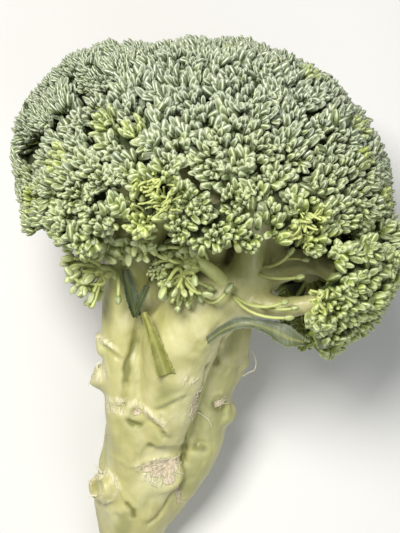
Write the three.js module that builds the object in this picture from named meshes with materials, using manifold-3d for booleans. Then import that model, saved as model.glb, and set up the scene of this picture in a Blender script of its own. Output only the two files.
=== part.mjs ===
// A head of broccoli as cut, lying on its side. Millimetres, +Z up, and the table is the plane z = 0.
// The stalk's cut end points along -Y and the crown along +Y. The stalk forks into branches, and each
// branch carries one floret: a thick cap whose outside is covered with beads of flower buds, larger than life.
import * as THREE from "three";
import { mergeVertices } from "three/addons/utils/BufferGeometryUtils.js";
import { ConvexHull } from "three/addons/math/ConvexHull.js";
import Module from "manifold-3d";

const wasm = await Module();
wasm.setup();

const greenBuds = new THREE.MeshStandardMaterial({ color: 0x6f8450, roughness: 0.75, metalness: 0 });
const budsOfSprig = new THREE.MeshStandardMaterial({ color: 0x93a05a, roughness: 0.7, metalness: 0 });
const paleStalk = new THREE.MeshStandardMaterial({ color: 0xc3bd7c, roughness: 0.5, metalness: 0 });
const darkLeaf = new THREE.MeshStandardMaterial({ color: 0x5f6b48, roughness: 0.6, metalness: 0 });
const greenLeafStalk = new THREE.MeshStandardMaterial({ color: 0x8a8f4a, roughness: 0.5, metalness: 0 });

// Driving dimensions
const HEAD_CENTRE = new THREE.Vector3(9, 39, 67); // the point that the florets fan out from
const MEAN_REACH = 70; // from that point to the crown's outside, on average
const DOME_RADIUS = 44; // how strongly each floret's top is rounded
const BEAD_SPACING = 10.9; // between the middles of two beads of buds
const BEAD_RISE = 3.6; // from the valley between beads to a bead's top
const BEAD_UNEVENNESS = 0.9; // how much taller or lower a bead may be
const BEAD_JITTER = 0.16; // how far a bead strays from its even place, as a share of the spacing
const SHOULDER = 0.62; // a bead's flat top, as a share of its width
const SHOULDER_RISE = 0.8; // how high the edge of that flat top is, as a share of the bead's height
const PLAY = 0.16; // how far a floret's edge draws back from its neighbour, as a share of a bead
const CAP_DEPTH = 12; // from the valleys down to a floret's lower rim
const CAP_TAPER = 0.12; // how far that rim draws in towards the branch
const THROAT_DEPTH = 24; // from a floret's top down to the middle of its underside
const BRANCH_BITE = 6; // how far a branch reaches up into its floret
const BRANCH_END = 8; // the straight end of a branch, below its floret's underside
const BRANCH_BEND = 2; // how far a branch bends towards the crown half way along
const BUD_SINK = 1.2; // how deep a bud of a side shoot is rooted in its stem
const CLEARANCE = 0.5; // between a branch and the hollow that it sits in
const PLACE = new THREE.Vector3(-1.4, -1.3, 0); // puts the middle of the whole head over the origin
const GOLDEN_ANGLE = Math.PI * (3 - Math.sqrt(5));

// Each floret: its direction from the head's centre, how wide it spreads in degrees, how far it reaches,
// and the fork that its branch grows from.
const FLORETS = [
  { name: "floret_crown", axis: [0.06, 0.57, 0.82], spread: 25, reach: 70, fork: "centre" },
  { name: "floret_upper_right", axis: [0.5, 0.4, 0.77], spread: 24, reach: 67, fork: "centre" },
  { name: "floret_right", axis: [0.74, -0.03, 0.67], spread: 24, reach: 66.5, fork: "right" },
  { name: "floret_low_right", axis: [0.76, -0.52, 0.42], spread: 24, reach: 76, fork: "right" },
  { name: "floret_front", axis: [0.0, 0.15, 0.99], spread: 23, reach: 70, fork: "centre" },
  { name: "floret_front_right", axis: [0.36, -0.08, 0.93], spread: 20, reach: 68, fork: "right" },
  { name: "floret_front_low", axis: [-0.08, -0.17, 0.98], spread: 17, reach: 67, fork: "centre" },
  { name: "floret_left_front", axis: [-0.38, 0.14, 0.91], spread: 23, reach: 73, fork: "left" },
  { name: "floret_left_low", axis: [-0.79, 0.1, 0.6], spread: 23, reach: 77.5, fork: "left" },
  { name: "floret_upper_left", axis: [-0.86, 0.47, 0.2], spread: 31, reach: 87.5, fork: "left" },
  { name: "floret_tip", axis: [0.02, 0.97, 0.24], spread: 26, reach: 68.5, fork: "centre" },
  { name: "floret_tip_left", axis: [-0.46, 0.88, -0.1], spread: 24, reach: 73.5, fork: "centre" },
  { name: "floret_tip_right", axis: [0.62, 0.75, 0.2], spread: 26, reach: 64, fork: "centre" },
  { name: "floret_side_right", axis: [0.97, 0.2, 0.1], spread: 27, reach: 67.5, fork: "right" },
  { name: "floret_side_left", axis: [-0.88, 0.38, -0.35], spread: 25, reach: 80, fork: "left" },
  { name: "floret_back_tip", axis: [0.05, 0.76, -0.65], spread: 28, reach: 69, fork: "back" },
  { name: "floret_back_right", axis: [0.75, 0.42, -0.52], spread: 26, reach: 67, fork: "back" },
  { name: "floret_rest_left", axis: [-0.42, 0.25, -0.87], spread: 29, reach: 72.4, fork: "back" },
  { name: "floret_rest_right", axis: [0.42, 0.1, -0.9], spread: 28, reach: 71.2, fork: "back" },
  { name: "floret_back_low", axis: [0.78, -0.42, -0.46], spread: 25, reach: 70, fork: "back_right" },
];
const SECOND_BRANCHES = [
  {
    floret: "floret_low_right",
    stops: [
      [12, 2, 74, 6],
      [24, 1, 80, 4.6],
      [35, 0, 84, 3.8],
      [45, 2, 88, 3.4],
    ],
  },
];

// The stalk: each limb is a list of stops x, y, z, radius, from its lower end up.
const TRUNK = [
  [-31.5, -101.5, 10, 11.2],
  [-29.4, -88, 16.6, 12.8],
  [-26.7, -72, 23.2, 17.2],
  [-21.5, -46, 33, 17.6],
  [-14, -22, 46, 16.5],
  [-2, -2, 57, 15],
  [4, 16, 61, 10],
];
const LEFT_LIMB = [
  [-26, -60, 36, 9.5],
  [-28.5, -36, 50, 9.3],
  [-30.8, -12, 60, 7.4],
  [-30, 12, 67, 7.6],
];
const MAIN_LIMB = [
  [-16, -46, 42, 11.5],
  [-11.5, -25, 54, 13.8],
  [-7, -9, 62.5, 15.6],
  [5, 3, 71, 13],
  [15, 9, 76, 9.5],
  [20, 13, 78, 8],
];
const MIDDLE_LIMB = [
  [-20, -32, 51, 8],
  [-21.5, -8, 57.5, 8],
  [-17, 14, 61, 7],
];
const BACK_LIMB = [
  [-20.5, -80, 19.5, 7.6],
  [-11.5, -65, 24, 10.5],
  [-2.5, -50, 30, 11],
  [0.3, -34, 36, 10.8],
  [6.5, -13, 44, 13],
  [12, 8, 50, 10],
];
const FORKS = {
  centre: [4, 16, 61],
  left: [-30, 8, 65.5],
  right: [18, 10, 77],
  back: [6, 8, 48],
  back_right: [12, 4, 44],
};
const BRANCH_RADIUS = { root: 7.5, tip: 4.6 };

// What is left of the leaf stalks that were cut off: foot on the stalk, direction, width at the foot and at the cut.
const STUMPS = [
  { foot: [-36, -67, 35], towards: [-0.75, -0.1, 0.65], width: 8, cut: 5, length: 8 },
  { foot: [-35, -25, 52], towards: [-0.9, 0.25, 0.3], width: 6.5, cut: 4.5, length: 8 },
  { foot: [-15, -61, 39], towards: [0.15, -0.3, 0.94], width: 9, cut: 7.5, length: 4 },
  { foot: [-24, -39, 52], towards: [-0.2, -0.2, 0.95], width: 6, cut: 4.4, length: 5 },
  { foot: [-33, -12, 58], towards: [-0.8, 0.1, 0.6], width: 5.5, cut: 3.6, length: 7 },
  { foot: [9, -37, 36], towards: [0.85, 0.1, 0.4], width: 6.5, cut: 4, length: 5 },
  { foot: [13, -16, 44], towards: [0.8, 0.15, 0.5], width: 7, cut: 4.6, length: 6 },
];

// The two side shoots: stems, each a list of stops as in the stalk, and tufts of buds. A tuft is given by its place,
// its direction, how many degrees its buds fan out, their number, and their length and width.
const SPRIGS = [
  {
    name: "sprig_left",
    stems: [
      [[-31, 13, 76, 2], [-39, 15, 78, 1.7], [-48, 14.5, 75, 1.4]],
      [[-35, 14.5, 77.5, 1.5], [-37.5, 11, 79.5, 1.3], [-40, 8, 80, 1.1]],
    ],
    tufts: [
      { at: [-48, 14.5, 75], towards: [-1, 0.05, -0.1], fan: 70, buds: 9, length: 9, width: 4.4 },
      { at: [-40, 8, 80], towards: [-0.55, -0.8, 0.25], fan: 62, buds: 8, length: 8, width: 4 },
    ],
  },
  {
    name: "sprig_front",
    stems: [
      [[-1, 18, 82, 2.2], [-5, 13, 88, 1.9], [-6.5, 4, 89.5, 1.5]],
      [[-5, 13, 88, 1.6], [-10, 14, 90, 1.4], [-14, 13, 91, 1.2]],
    ],
    tufts: [
      { at: [-6.5, 4, 89.5], towards: [0.15, -1, 0.15], fan: 62, buds: 10, length: 9, width: 4 },
      { at: [-14, 13, 91], towards: [-0.6, -0.3, 0.7], fan: 60, buds: 5, length: 6, width: 3.4 },
    ],
  },
];

// The leaves that were left on: each blade a list of stops x, y, z, half width, the side that it faces and its form.
const LEAVES = [
  {
    name: "leaf_right",
    material: darkLeaf,
    blades: [
      {
        stops: [
          [3, -12, 77.2, 1.5],
          [9, -8.5, 82.5, 2],
          [15.7, -6.5, 86, 2.1],
          [21, -7.5, 87.5, 2.2],
          [27, -9.5, 87.5, 3.6],
          [32, -12, 86.5, 4.2],
          [38, -13.5, 85, 1.6],
        ],
        face: [0, 0.25, 1],
        thickness: 1.1,
        cup: 1.2,
        wave: 0.7,
        waves: 2.2,
      },
    ],
  },
  {
    name: "leaf_left",
    material: darkLeaf,
    blades: [
      {
        stops: [
          [-24.5, -2.5, 75.5, 1.4],
          [-22, 3, 79.5, 1.5],
          [-19.5, 8, 81.5, 1.3],
        ],
        face: [-0.4, 0.2, 1],
        thickness: 1.4,
        cup: 0.5,
      },
      {
        stops: [
          [-24.5, -2.5, 75.5, 1.6],
          [-26.3, 5, 80, 2.8],
          [-28.5, 14, 82.5, 1.4],
        ],
        face: [0.5, 0, 1],
        thickness: 1,
        cup: 1.4,
        wave: 0.4,
        waves: 1.5,
      },
    ],
  },
  {
    name: "leaf_stalk_cut",
    material: greenLeafStalk,
    blades: [
      {
        stops: [
          [-13, -24, 70.6, 3.8],
          [-14.5, -18, 73.6, 3.4],
          [-16.5, -10, 77.4, 2.6],
          [-18.5, -1.5, 79.5, 1.7],
        ],
        face: [0, 0, 1],
        thickness: 1.6,
        cup: 1.6,
      },
    ],
  },
];

// A repeatable draw from 0 to 1, so that the head comes out the same every time.
function seededDraw(seed) {
  let state = seed;
  return () => {
    state = (state + 0x6d2b79f5) | 0;
    let t = Math.imul(state ^ (state >>> 15), 1 | state);
    t = (t + Math.imul(t ^ (t >>> 7), 61 | t)) ^ t;
    return ((t ^ (t >>> 14)) >>> 0) / 4294967296;
  };
}

// A closed geometry as a solid, its faces turned outwards.
function solidOf(geometry) {
  const bare = new THREE.BufferGeometry().setAttribute("position", geometry.getAttribute("position"));
  bare.setIndex(geometry.index);
  const merged = mergeVertices(bare, 1e-4);
  const vertProperties = new Float32Array(merged.attributes.position.array);
  const triVerts = new Uint32Array(merged.index.array);
  const made = new wasm.Manifold(new wasm.Mesh({ numProp: 3, vertProperties, triVerts }));
  if (made.volume() > 0) return made;
  for (let i = 0; i < triVerts.length; i += 3) {
    [triVerts[i + 1], triVerts[i + 2]] = [triVerts[i + 2], triVerts[i + 1]];
  }
  return new wasm.Manifold(new wasm.Mesh({ numProp: 3, vertProperties, triVerts }));
}

function geometryOf(solid) {
  const mesh = solid.getMesh();
  const positions = new Float32Array(mesh.numVert * 3);
  for (let i = 0; i < mesh.numVert; i++) {
    positions.set(mesh.vertProperties.subarray(i * mesh.numProp, i * mesh.numProp + 3), i * 3);
  }
  const geometry = new THREE.BufferGeometry();
  geometry.setAttribute("position", new THREE.BufferAttribute(positions, 3));
  geometry.setIndex(new THREE.BufferAttribute(new Uint32Array(mesh.triVerts), 1));
  geometry.computeVertexNormals();
  return geometry;
}

// The largest connected body of a solid: a crumb that a cut leaves behind is dropped.
function mainBody(solid) {
  return solid.decompose().reduce((a, b) => (a.volume() > b.volume() ? a : b));
}

// A tapering limb of round section along a smooth line through its stops, each x, y, z, radius.
// Growth makes it larger all round, past its upper end too, which gives the room that it needs in another part.
function limb(stops, { sides = 10, steps = 8, grow = 0 } = {}) {
  const curve = new THREE.CatmullRomCurve3(stops.map(([x, y, z]) => new THREE.Vector3(x, y, z)));
  const frames = curve.computeFrenetFrames(steps, false);
  const geometry = new THREE.CylinderGeometry(1, 1, 1, sides, steps);
  const position = geometry.attributes.position;
  for (let i = 0; i < position.count; i++) {
    const step = Math.round((position.getY(i) + 0.5) * steps);
    const stop = curve.getUtoTmapping(step / steps) * (stops.length - 1);
    const before = Math.min(Math.floor(stop), stops.length - 2);
    const radius = THREE.MathUtils.lerp(stops[before][3], stops[before + 1][3], stop - before) + grow;
    const point = curve
      .getPointAt(step / steps)
      .addScaledVector(frames.normals[step], position.getX(i) * radius)
      .addScaledVector(frames.binormals[step], position.getZ(i) * radius)
      .addScaledVector(frames.tangents[step], step === steps ? grow : 0);
    position.setXYZ(i, point.x, point.y, point.z);
  }
  return solidOf(geometry);
}

// A thin leaf or leaf stalk along a smooth line through its stops, each x, y, z, half width.
// It is cupped across, and its edge waves up and down.
function blade(stops, { face, thickness, cup = 0, wave = 0, waves = 0, steps = 12, across = 2 }) {
  const curve = new THREE.CatmullRomCurve3(stops.map(([x, y, z]) => new THREE.Vector3(x, y, z)));
  const facing = new THREE.Vector3(...face).normalize();
  const geometry = new THREE.BoxGeometry(2, 1, 1, across * 2, 1, steps);
  const position = geometry.attributes.position;
  for (let i = 0; i < position.count; i++) {
    const along = position.getZ(i) + 0.5;
    const side = position.getX(i);
    const stop = curve.getUtoTmapping(along) * (stops.length - 1);
    const before = Math.min(Math.floor(stop), stops.length - 2);
    const halfWidth = THREE.MathUtils.lerp(stops[before][3], stops[before + 1][3], stop - before);
    const tangent = curve.getTangentAt(along);
    const sideways = new THREE.Vector3().crossVectors(tangent, facing).normalize();
    const up = new THREE.Vector3().crossVectors(sideways, tangent).normalize();
    const lift = cup * side * side + wave * side * Math.sin(along * waves * Math.PI * 2);
    const point = curve
      .getPointAt(along)
      .addScaledVector(sideways, side * halfWidth)
      .addScaledVector(up, position.getY(i) * thickness + lift);
    position.setXYZ(i, point.x, point.y, point.z);
  }
  return solidOf(geometry);
}

// One flower bud, larger than life: a pointed drop of few sides.
function bud(foot, direction, length, width) {
  const profile = [
    [0, 0],
    [0.48, 0.3],
    [0.42, 0.72],
    [0, 1],
  ];
  const geometry = new THREE.LatheGeometry(
    profile.map(([r, h]) => new THREE.Vector2(r * width, h * length)),
    5,
  );
  const turn = new THREE.Quaternion().setFromUnitVectors(
    new THREE.Vector3(0, 1, 0),
    new THREE.Vector3(...direction).normalize(),
  );
  geometry.applyQuaternion(turn).translate(...foot);
  return solidOf(geometry);
}

const union = (solids) => solids.reduce((a, b) => a.add(b));
const tableTop = solidOf(new THREE.BoxGeometry(400, 400, 40).translate(0, 0, -20));

// Where the beads of buds stand, as directions from the head's centre: an even spiral over the ball, stirred a little.
function beadDirections() {
  const beadArea = (BEAD_SPACING ** 2 * Math.sqrt(3)) / 2;
  const count = Math.round((4 * Math.PI * MEAN_REACH ** 2) / beadArea);
  const draw = seededDraw(7);
  const stray = (2 * BEAD_JITTER * BEAD_SPACING) / MEAN_REACH;
  return Array.from({ length: count }, (_, i) => {
    const height = 1 - (2 * i + 1) / count;
    const radius = Math.sqrt(1 - height * height);
    const direction = new THREE.Vector3(
      radius * Math.cos(i * GOLDEN_ANGLE),
      height,
      radius * Math.sin(i * GOLDEN_ANGLE),
    );
    const push = new THREE.Vector3(draw() - 0.5, draw() - 0.5, draw() - 0.5);
    return direction.addScaledVector(push, stray).normalize();
  });
}

// The cells around the beads: corners lie where three beads meet, and each bead lists its corners in order,
// anticlockwise as seen from outside.
function beadCells(directions) {
  const indexOf = new Map(directions.map((direction, i) => [direction, i]));
  const hull = new ConvexHull().setFromPoints(directions);
  const corners = hull.faces.map((face) => {
    const beads = [face.edge, face.edge.next, face.edge.next.next].map((e) => indexOf.get(e.head().point));
    return { direction: face.normal.clone().normalize(), beads };
  });
  const cornersOf = directions.map(() => []);
  corners.forEach((corner, i) => corner.beads.forEach((bead) => cornersOf[bead].push(i)));
  directions.forEach((direction, bead) => {
    const east = new THREE.Vector3(0.3, 0.5, 0.8).cross(direction).normalize();
    const north = new THREE.Vector3().crossVectors(direction, east);
    const angle = (i) => Math.atan2(corners[i].direction.dot(north), corners[i].direction.dot(east));
    cornersOf[bead].sort((a, b) => angle(a) - angle(b));
  });
  return { corners, cornersOf };
}

// Which floret each bead belongs to: the one whose middle is nearest for its spread, or none beyond the crown's rim.
function beadOwners(directions, florets) {
  return directions.map((direction) => {
    const share = florets.map((floret) => direction.angleTo(floret.axis) / THREE.MathUtils.degToRad(floret.spread));
    const nearest = share.indexOf(Math.min(...share));
    return share[nearest] < 1 ? nearest : -1;
  });
}

// How far a floret's rounded top lies from the head's centre, along a direction.
function domeReach(floret, direction) {
  const centreOut = floret.reach - DOME_RADIUS;
  const cosine = direction.dot(floret.axis);
  return centreOut * cosine + Math.sqrt(DOME_RADIUS ** 2 - centreOut ** 2 * (1 - cosine * cosine));
}

// The closed chain of edges around a floret, each edge given as from one corner to the next.
function edgeLoop(edges) {
  const after = new Map(edges);
  const loop = [edges[0][0]];
  while (after.get(loop.at(-1)) !== loop[0]) loop.push(after.get(loop.at(-1)));
  if (loop.length !== edges.length) throw new Error("a floret's edge is in more than one piece");
  return loop;
}

// One floret: beads on a rounded top, a wall down to a narrower lower rim, and a shallow cone to the branch.
function floretSolid(floret, beads, directions, { corners, cornersOf }, bumps) {
  const points = [];
  const triangles = [];
  const addPoint = (point) => points.push(point) - 1;
  const onDome = (direction, depth) => direction.clone().multiplyScalar(domeReach(floret, direction) - depth);
  const domeCentre = floret.axis.clone().multiplyScalar(floret.reach - DOME_RADIUS);
  const raised = (direction, height) => {
    const foot = onDome(direction, BEAD_RISE);
    const upright = foot.clone().sub(domeCentre).normalize().add(direction).normalize();
    return foot.clone().addScaledVector(upright, height);
  };
  const own = new Set(beads);
  const cornerDirection = (i) => {
    const mine = corners[i].beads.filter((bead) => own.has(bead));
    const middle = mine.reduce((sum, bead) => sum.add(directions[bead]), new THREE.Vector3()).normalize();
    const drawBack = mine.length < 3 ? PLAY : 0;
    return corners[i].direction.clone().lerp(middle, drawBack).normalize();
  };
  const valley = new Map();
  const valleyAt = (i) => {
    if (!valley.has(i)) valley.set(i, addPoint(onDome(cornerDirection(i), BEAD_RISE)));
    return valley.get(i);
  };
  const edges = new Map();
  for (const bead of beads) {
    const ring = cornersOf[bead];
    const rise = BEAD_RISE + bumps[bead] * BEAD_UNEVENNESS;
    const top = addPoint(raised(directions[bead], rise));
    const shoulders = ring.map((i) => {
      const direction = directions[bead].clone().lerp(cornerDirection(i), SHOULDER).normalize();
      return addPoint(raised(direction, rise * SHOULDER_RISE));
    });
    ring.forEach((corner, k) => {
      const next = (k + 1) % ring.length;
      const [a, b] = [valleyAt(corner), valleyAt(ring[next])];
      triangles.push([top, shoulders[k], shoulders[next]]);
      triangles.push([shoulders[k], a, b], [shoulders[k], b, shoulders[next]]);
      edges.set(`${corner} ${ring[next]}`, [corner, ring[next]]);
    });
  }
  const loop = edgeLoop([...edges.values()].filter(([a, b]) => !edges.has(`${b} ${a}`)));
  const rim = loop.map((i) => cornerDirection(i).lerp(floret.axis, CAP_TAPER).normalize());
  const rimPoints = rim.map((direction) => addPoint(onDome(direction, BEAD_RISE + CAP_DEPTH)));
  const throat = addPoint(onDome(floret.axis, THROAT_DEPTH));
  loop.forEach((corner, k) => {
    const next = (k + 1) % loop.length;
    const [a, b] = [valleyAt(corner), valleyAt(loop[next])];
    triangles.push([b, a, rimPoints[k]], [b, rimPoints[k], rimPoints[next]]);
    triangles.push([rimPoints[next], rimPoints[k], throat]);
  });
  const geometry = new THREE.BufferGeometry().setFromPoints(points.map((point) => point.add(HEAD_CENTRE)));
  geometry.setIndex(triangles.flat());
  return solidOf(geometry);
}

// The branch from its fork to its floret, bending outwards on the way.
function branchStops(floret) {
  const along = (reach) => HEAD_CENTRE.clone().addScaledVector(floret.axis, reach);
  const start = new THREE.Vector3(...FORKS[floret.fork]);
  const foot = along(floret.reach - THROAT_DEPTH - BRANCH_END);
  const tip = along(floret.reach - THROAT_DEPTH + BRANCH_BITE);
  const bend = start.clone().lerp(foot, 0.5).add(new THREE.Vector3(0, BRANCH_BEND, 0));
  const { root, tip: thin } = BRANCH_RADIUS;
  return [
    [...start, root],
    [...bend, (root + thin) / 2],
    [...foot, thin],
    [...tip, thin],
  ];
}

// A floret's branches, or with some growth, the room that they take up in it.
function branches(floret, grow = 0) {
  const seconds = SECOND_BRANCHES.filter((second) => second.floret === floret.name);
  const lines = [branchStops(floret), ...seconds.map((second) => second.stops)];
  return union(lines.map((stops) => limb(stops, { sides: 6, steps: 4, grow })));
}

function stump({ foot, towards, width, cut, length }, grow = 0) {
  const direction = new THREE.Vector3(...towards).normalize();
  const base = new THREE.Vector3(...foot);
  const low = base.clone().addScaledVector(direction, -width);
  const high = base.clone().addScaledVector(direction, length);
  return limb([[...low, width], [...base, width], [...high, cut]], { sides: 7, steps: 2, grow });
}

// The whole stalk, or with some growth, the room that the small parts beside it leave free.
function stalkSolid(grow = 0) {
  return union([
    limb(TRUNK, { sides: 14, steps: 9, grow }),
    limb(LEFT_LIMB, { sides: 12, steps: 6, grow }),
    limb(MAIN_LIMB, { sides: 12, steps: 7, grow }),
    limb(MIDDLE_LIMB, { sides: 8, steps: 4, grow }),
    limb(BACK_LIMB, { sides: 12, steps: 7, grow }),
    ...florets.map((floret) => branches(floret, grow)),
    ...STUMPS.map((each) => stump(each, grow)),
  ]);
}

const florets = FLORETS.map((floret) => ({ ...floret, axis: new THREE.Vector3(...floret.axis).normalize() }));

function crown() {
  const directions = beadDirections();
  const cells = beadCells(directions);
  const owners = beadOwners(directions, florets);
  const draw = seededDraw(11);
  const bumps = directions.map(() => draw() * 2 - 1);
  return florets.map((floret, f) => {
    const beads = owners.flatMap((owner, bead) => (owner === f ? [bead] : []));
    const cap = floretSolid(floret, beads, directions, cells, bumps);
    return [floret.name, mainBody(cap.subtract(branches(floret, CLEARANCE)).subtract(tableTop)), greenBuds];
  });
}

// A side shoot: thin stems with tufts of buds that fan out from their ends.
function sprig({ name, stems, tufts }, f) {
  const draw = seededDraw(31 + f);
  const solids = stems.map((stops) => limb(stops, { sides: 6, steps: 4 }));
  for (const { at, towards, fan, buds, length, width } of tufts) {
    const axis = new THREE.Vector3(...towards).normalize();
    const side = new THREE.Vector3(0.3, 0.2, 1).cross(axis).normalize();
    for (let k = 0; k < buds; k++) {
      const lean = THREE.MathUtils.degToRad(fan) * Math.sqrt(k / buds);
      const turn = k * GOLDEN_ANGLE + draw() * 0.5;
      const direction = axis.clone().applyAxisAngle(side, lean).applyAxisAngle(axis, turn);
      const foot = new THREE.Vector3(...at).addScaledVector(direction, -BUD_SINK);
      const stretch = 0.85 + draw() * 0.3;
      solids.push(bud(foot.toArray(), direction.toArray(), length * stretch, width));
    }
  }
  return [name, mainBody(union(solids).subtract(stalkSolid(CLEARANCE))), budsOfSprig];
}

function leaf({ name, material, blades }) {
  const solid = union(blades.map(({ stops, ...form }) => blade(stops, form)));
  return [name, mainBody(solid.subtract(stalkSolid(CLEARANCE))), material];
}

const head = new THREE.Group();
const stalk = ["stalk", mainBody(stalkSolid().subtract(tableTop)), paleStalk];
for (const [name, solid, material] of [stalk, ...crown(), ...SPRIGS.map(sprig), ...LEAVES.map(leaf)]) {
  const mesh = new THREE.Mesh(geometryOf(solid), material);
  mesh.name = name;
  head.add(mesh);
}
head.position.copy(PLACE);

export default head;
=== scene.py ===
# %% [markdown]
# # A head of broccoli
#
# The head lies on its side on a pale table, seen from nearly straight above. The solid model under it already
# has every limb of the stalk and every floret at its real size and place. This script gives each of them its
# looks: thousands of flower buds on their little stalks, a ribbed and scarred stalk, and a few ragged leaves.
#
# The solid model is loaded first and never changed. Its box is kept, because the finished head has to stay
# inside it.

import math

import bpy
import numpy as np
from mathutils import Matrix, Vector, noise


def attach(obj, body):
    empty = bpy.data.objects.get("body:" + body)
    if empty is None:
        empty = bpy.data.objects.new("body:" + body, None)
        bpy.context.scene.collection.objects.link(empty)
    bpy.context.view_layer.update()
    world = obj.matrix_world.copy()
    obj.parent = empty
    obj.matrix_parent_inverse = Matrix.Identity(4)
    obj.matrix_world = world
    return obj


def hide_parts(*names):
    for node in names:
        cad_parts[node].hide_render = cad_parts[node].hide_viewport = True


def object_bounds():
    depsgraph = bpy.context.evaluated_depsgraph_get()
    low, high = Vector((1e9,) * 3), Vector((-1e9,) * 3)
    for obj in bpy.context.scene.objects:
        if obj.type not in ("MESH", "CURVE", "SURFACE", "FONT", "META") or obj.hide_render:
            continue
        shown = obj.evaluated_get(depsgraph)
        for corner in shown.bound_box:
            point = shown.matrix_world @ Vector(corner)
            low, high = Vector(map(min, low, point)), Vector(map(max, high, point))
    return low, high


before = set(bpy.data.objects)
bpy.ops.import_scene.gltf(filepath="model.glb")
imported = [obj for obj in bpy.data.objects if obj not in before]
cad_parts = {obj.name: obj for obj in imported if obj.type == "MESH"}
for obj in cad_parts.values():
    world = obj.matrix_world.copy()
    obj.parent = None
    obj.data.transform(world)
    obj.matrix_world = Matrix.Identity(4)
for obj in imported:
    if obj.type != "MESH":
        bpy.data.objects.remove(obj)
cad_low, cad_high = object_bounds()
print("solid model:", len(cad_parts), "nodes, size", [round(side, 4) for side in cad_high - cad_low])

# %% [markdown]
# ## Units and places
#
# All tables below are in millimetres and in the same coordinates as the solid model was drawn in, where the
# stalk's cut end points along -Y and the table is z = 0. The drawing was moved sideways once it was done, so
# that the whole head stands over the origin. One function turns those millimetres into Blender's metres.

# %% Millimetres to metres
MM = 0.001
PLACE = np.array([-1.4, -1.3, 0.0])


def metres(points):
    """Points of the drawing, in millimetres, as places in the scene, in metres."""
    return (np.asarray(points, float) + PLACE) * MM


def unit(vectors):
    """Each vector at length 1."""
    vectors = np.asarray(vectors, float)
    return vectors / np.maximum(np.linalg.norm(vectors, axis=-1, keepdims=True), 1e-9)


ROOM_LOW = np.array(cad_low) / MM - PLACE
ROOM_HIGH = np.array(cad_high) / MM - PLACE
print("room for the head, mm:", ROOM_LOW.round(1), ROOM_HIGH.round(1))

# %% [markdown]
# ## The camera
#
# The head is seen from above, a little from the stalk's side, from about 40 cm away. A 70 mm lens at that
# distance gives the same slight perspective.

# %% Set up the camera
CAMERA_TARGET = (0.0, 17.5, 70.0)
CAMERA_ELEVATION = math.radians(80)
CAMERA_DISTANCE = 400.0
CAMERA_LENS = 70.0
SENSOR_SIZE = 36.0


def add_object(name, data):
    """A new object in the scene."""
    added = bpy.data.objects.new(name, data)
    bpy.context.scene.collection.objects.link(added)
    return added


camera_data = bpy.data.cameras.new("camera")
camera_data.lens = CAMERA_LENS
camera_data.sensor_width = SENSOR_SIZE
camera = add_object("camera", camera_data)
backwards = Vector((0, -math.cos(CAMERA_ELEVATION), math.sin(CAMERA_ELEVATION)))
camera.location = Vector(metres(CAMERA_TARGET)) + backwards * CAMERA_DISTANCE * MM
camera.rotation_euler = backwards.to_track_quat("Z", "Y").to_euler()
bpy.context.scene.camera = camera
print("camera at", [round(x, 4) for x in camera.location])

# %% [markdown]
# ## Light and table
#
# Daylight from a large window fell on the head from above and slightly from its crown's side. A big soft lamp
# stands in for the window, a weaker one fills the shadows, and the world gives an even glow. The table is one
# pale plane.

# %% Light the table
WINDOW = {"place": (-150, 150, 620), "size": 240, "power": 5.15, "colour": (1.0, 0.985, 0.96)}
FILL = {"place": (240, -340, 420), "size": 420, "power": 1.3, "colour": (0.95, 0.98, 1.0)}
SKY_COLOUR = (0.9, 0.94, 1.0, 1)
SKY_STRENGTH = 0.2


def add_lamp(name, place, size, power, colour):
    """A square lamp that shines at the middle of the head."""
    data = bpy.data.lights.new(name, "AREA")
    data.size = size * MM
    data.energy = power
    data.color = colour
    lamp = add_object(name, data)
    lamp.location = Vector(metres(place))
    away = lamp.location - Vector(metres(CAMERA_TARGET))
    lamp.rotation_euler = away.to_track_quat("Z", "Y").to_euler()


add_lamp("window", **WINDOW)
add_lamp("fill", **FILL)
world = bpy.data.worlds.new("studio")
world.use_nodes = True
sky = world.node_tree.nodes["Background"].inputs
sky["Color"].default_value = SKY_COLOUR
sky["Strength"].default_value = SKY_STRENGTH
bpy.context.scene.world = world
bpy.context.scene.view_settings.view_transform = "Standard"
print("lamps:", [light.name for light in bpy.data.lights])

# %% [markdown]
# ## Node trees written as Python
#
# Shader and geometry trees grow long when every node is placed by hand. Two small classes keep them readable:
# `Term` wraps a socket, so that `1 - mask * 0.5` adds the Math nodes by itself, and `Graph` adds any other
# node in one line, its settings first and its sockets after them.

# %% Helper classes for node trees
class Term:
    """One output socket, which can be used in sums."""

    def __init__(self, graph, socket):
        self.graph = graph
        self.socket = socket

    def math(self, operation, *others, swap=False):
        values = [self, *others]
        if swap:
            values.reverse()
        return self.graph.node("ShaderNodeMath", {"operation": operation}, dict(enumerate(values)))

    def __add__(self, other):
        return self.math("ADD", other)

    def __sub__(self, other):
        return self.math("SUBTRACT", other)

    def __rsub__(self, other):
        return self.math("SUBTRACT", other, swap=True)

    def __mul__(self, other):
        return self.math("MULTIPLY", other)

    def __pow__(self, other):
        return self.math("POWER", other)

    __radd__ = __add__
    __rmul__ = __mul__

    def between(self, low, high):
        """0 below low, 1 above high and a smooth rise from one to the other."""
        inputs = {"Value": self, "From Min": low, "From Max": high}
        return self.graph.node("ShaderNodeMapRange", {"interpolation_type": "SMOOTHSTEP"}, inputs)


class Graph:
    """A node tree that is built node by node."""

    def __init__(self, tree, prefix):
        self.tree = tree
        self.prefix = prefix

    def node(self, kind, settings=None, inputs=None, output=0):
        """Adds a node and gives back one of its outputs."""
        name = kind if "Node" in kind else self.prefix + kind
        added = self.tree.nodes.new(name)
        for key, value in (settings or {}).items():
            setattr(added, key, value)
        for key, value in (inputs or {}).items():
            self.connect(added.inputs[key], value)
        return Term(self, added.outputs[output]) if added.outputs else added

    def connect(self, socket, value):
        if isinstance(value, Term):
            self.tree.links.new(value.socket, socket)
        else:
            socket.default_value = value


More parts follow.
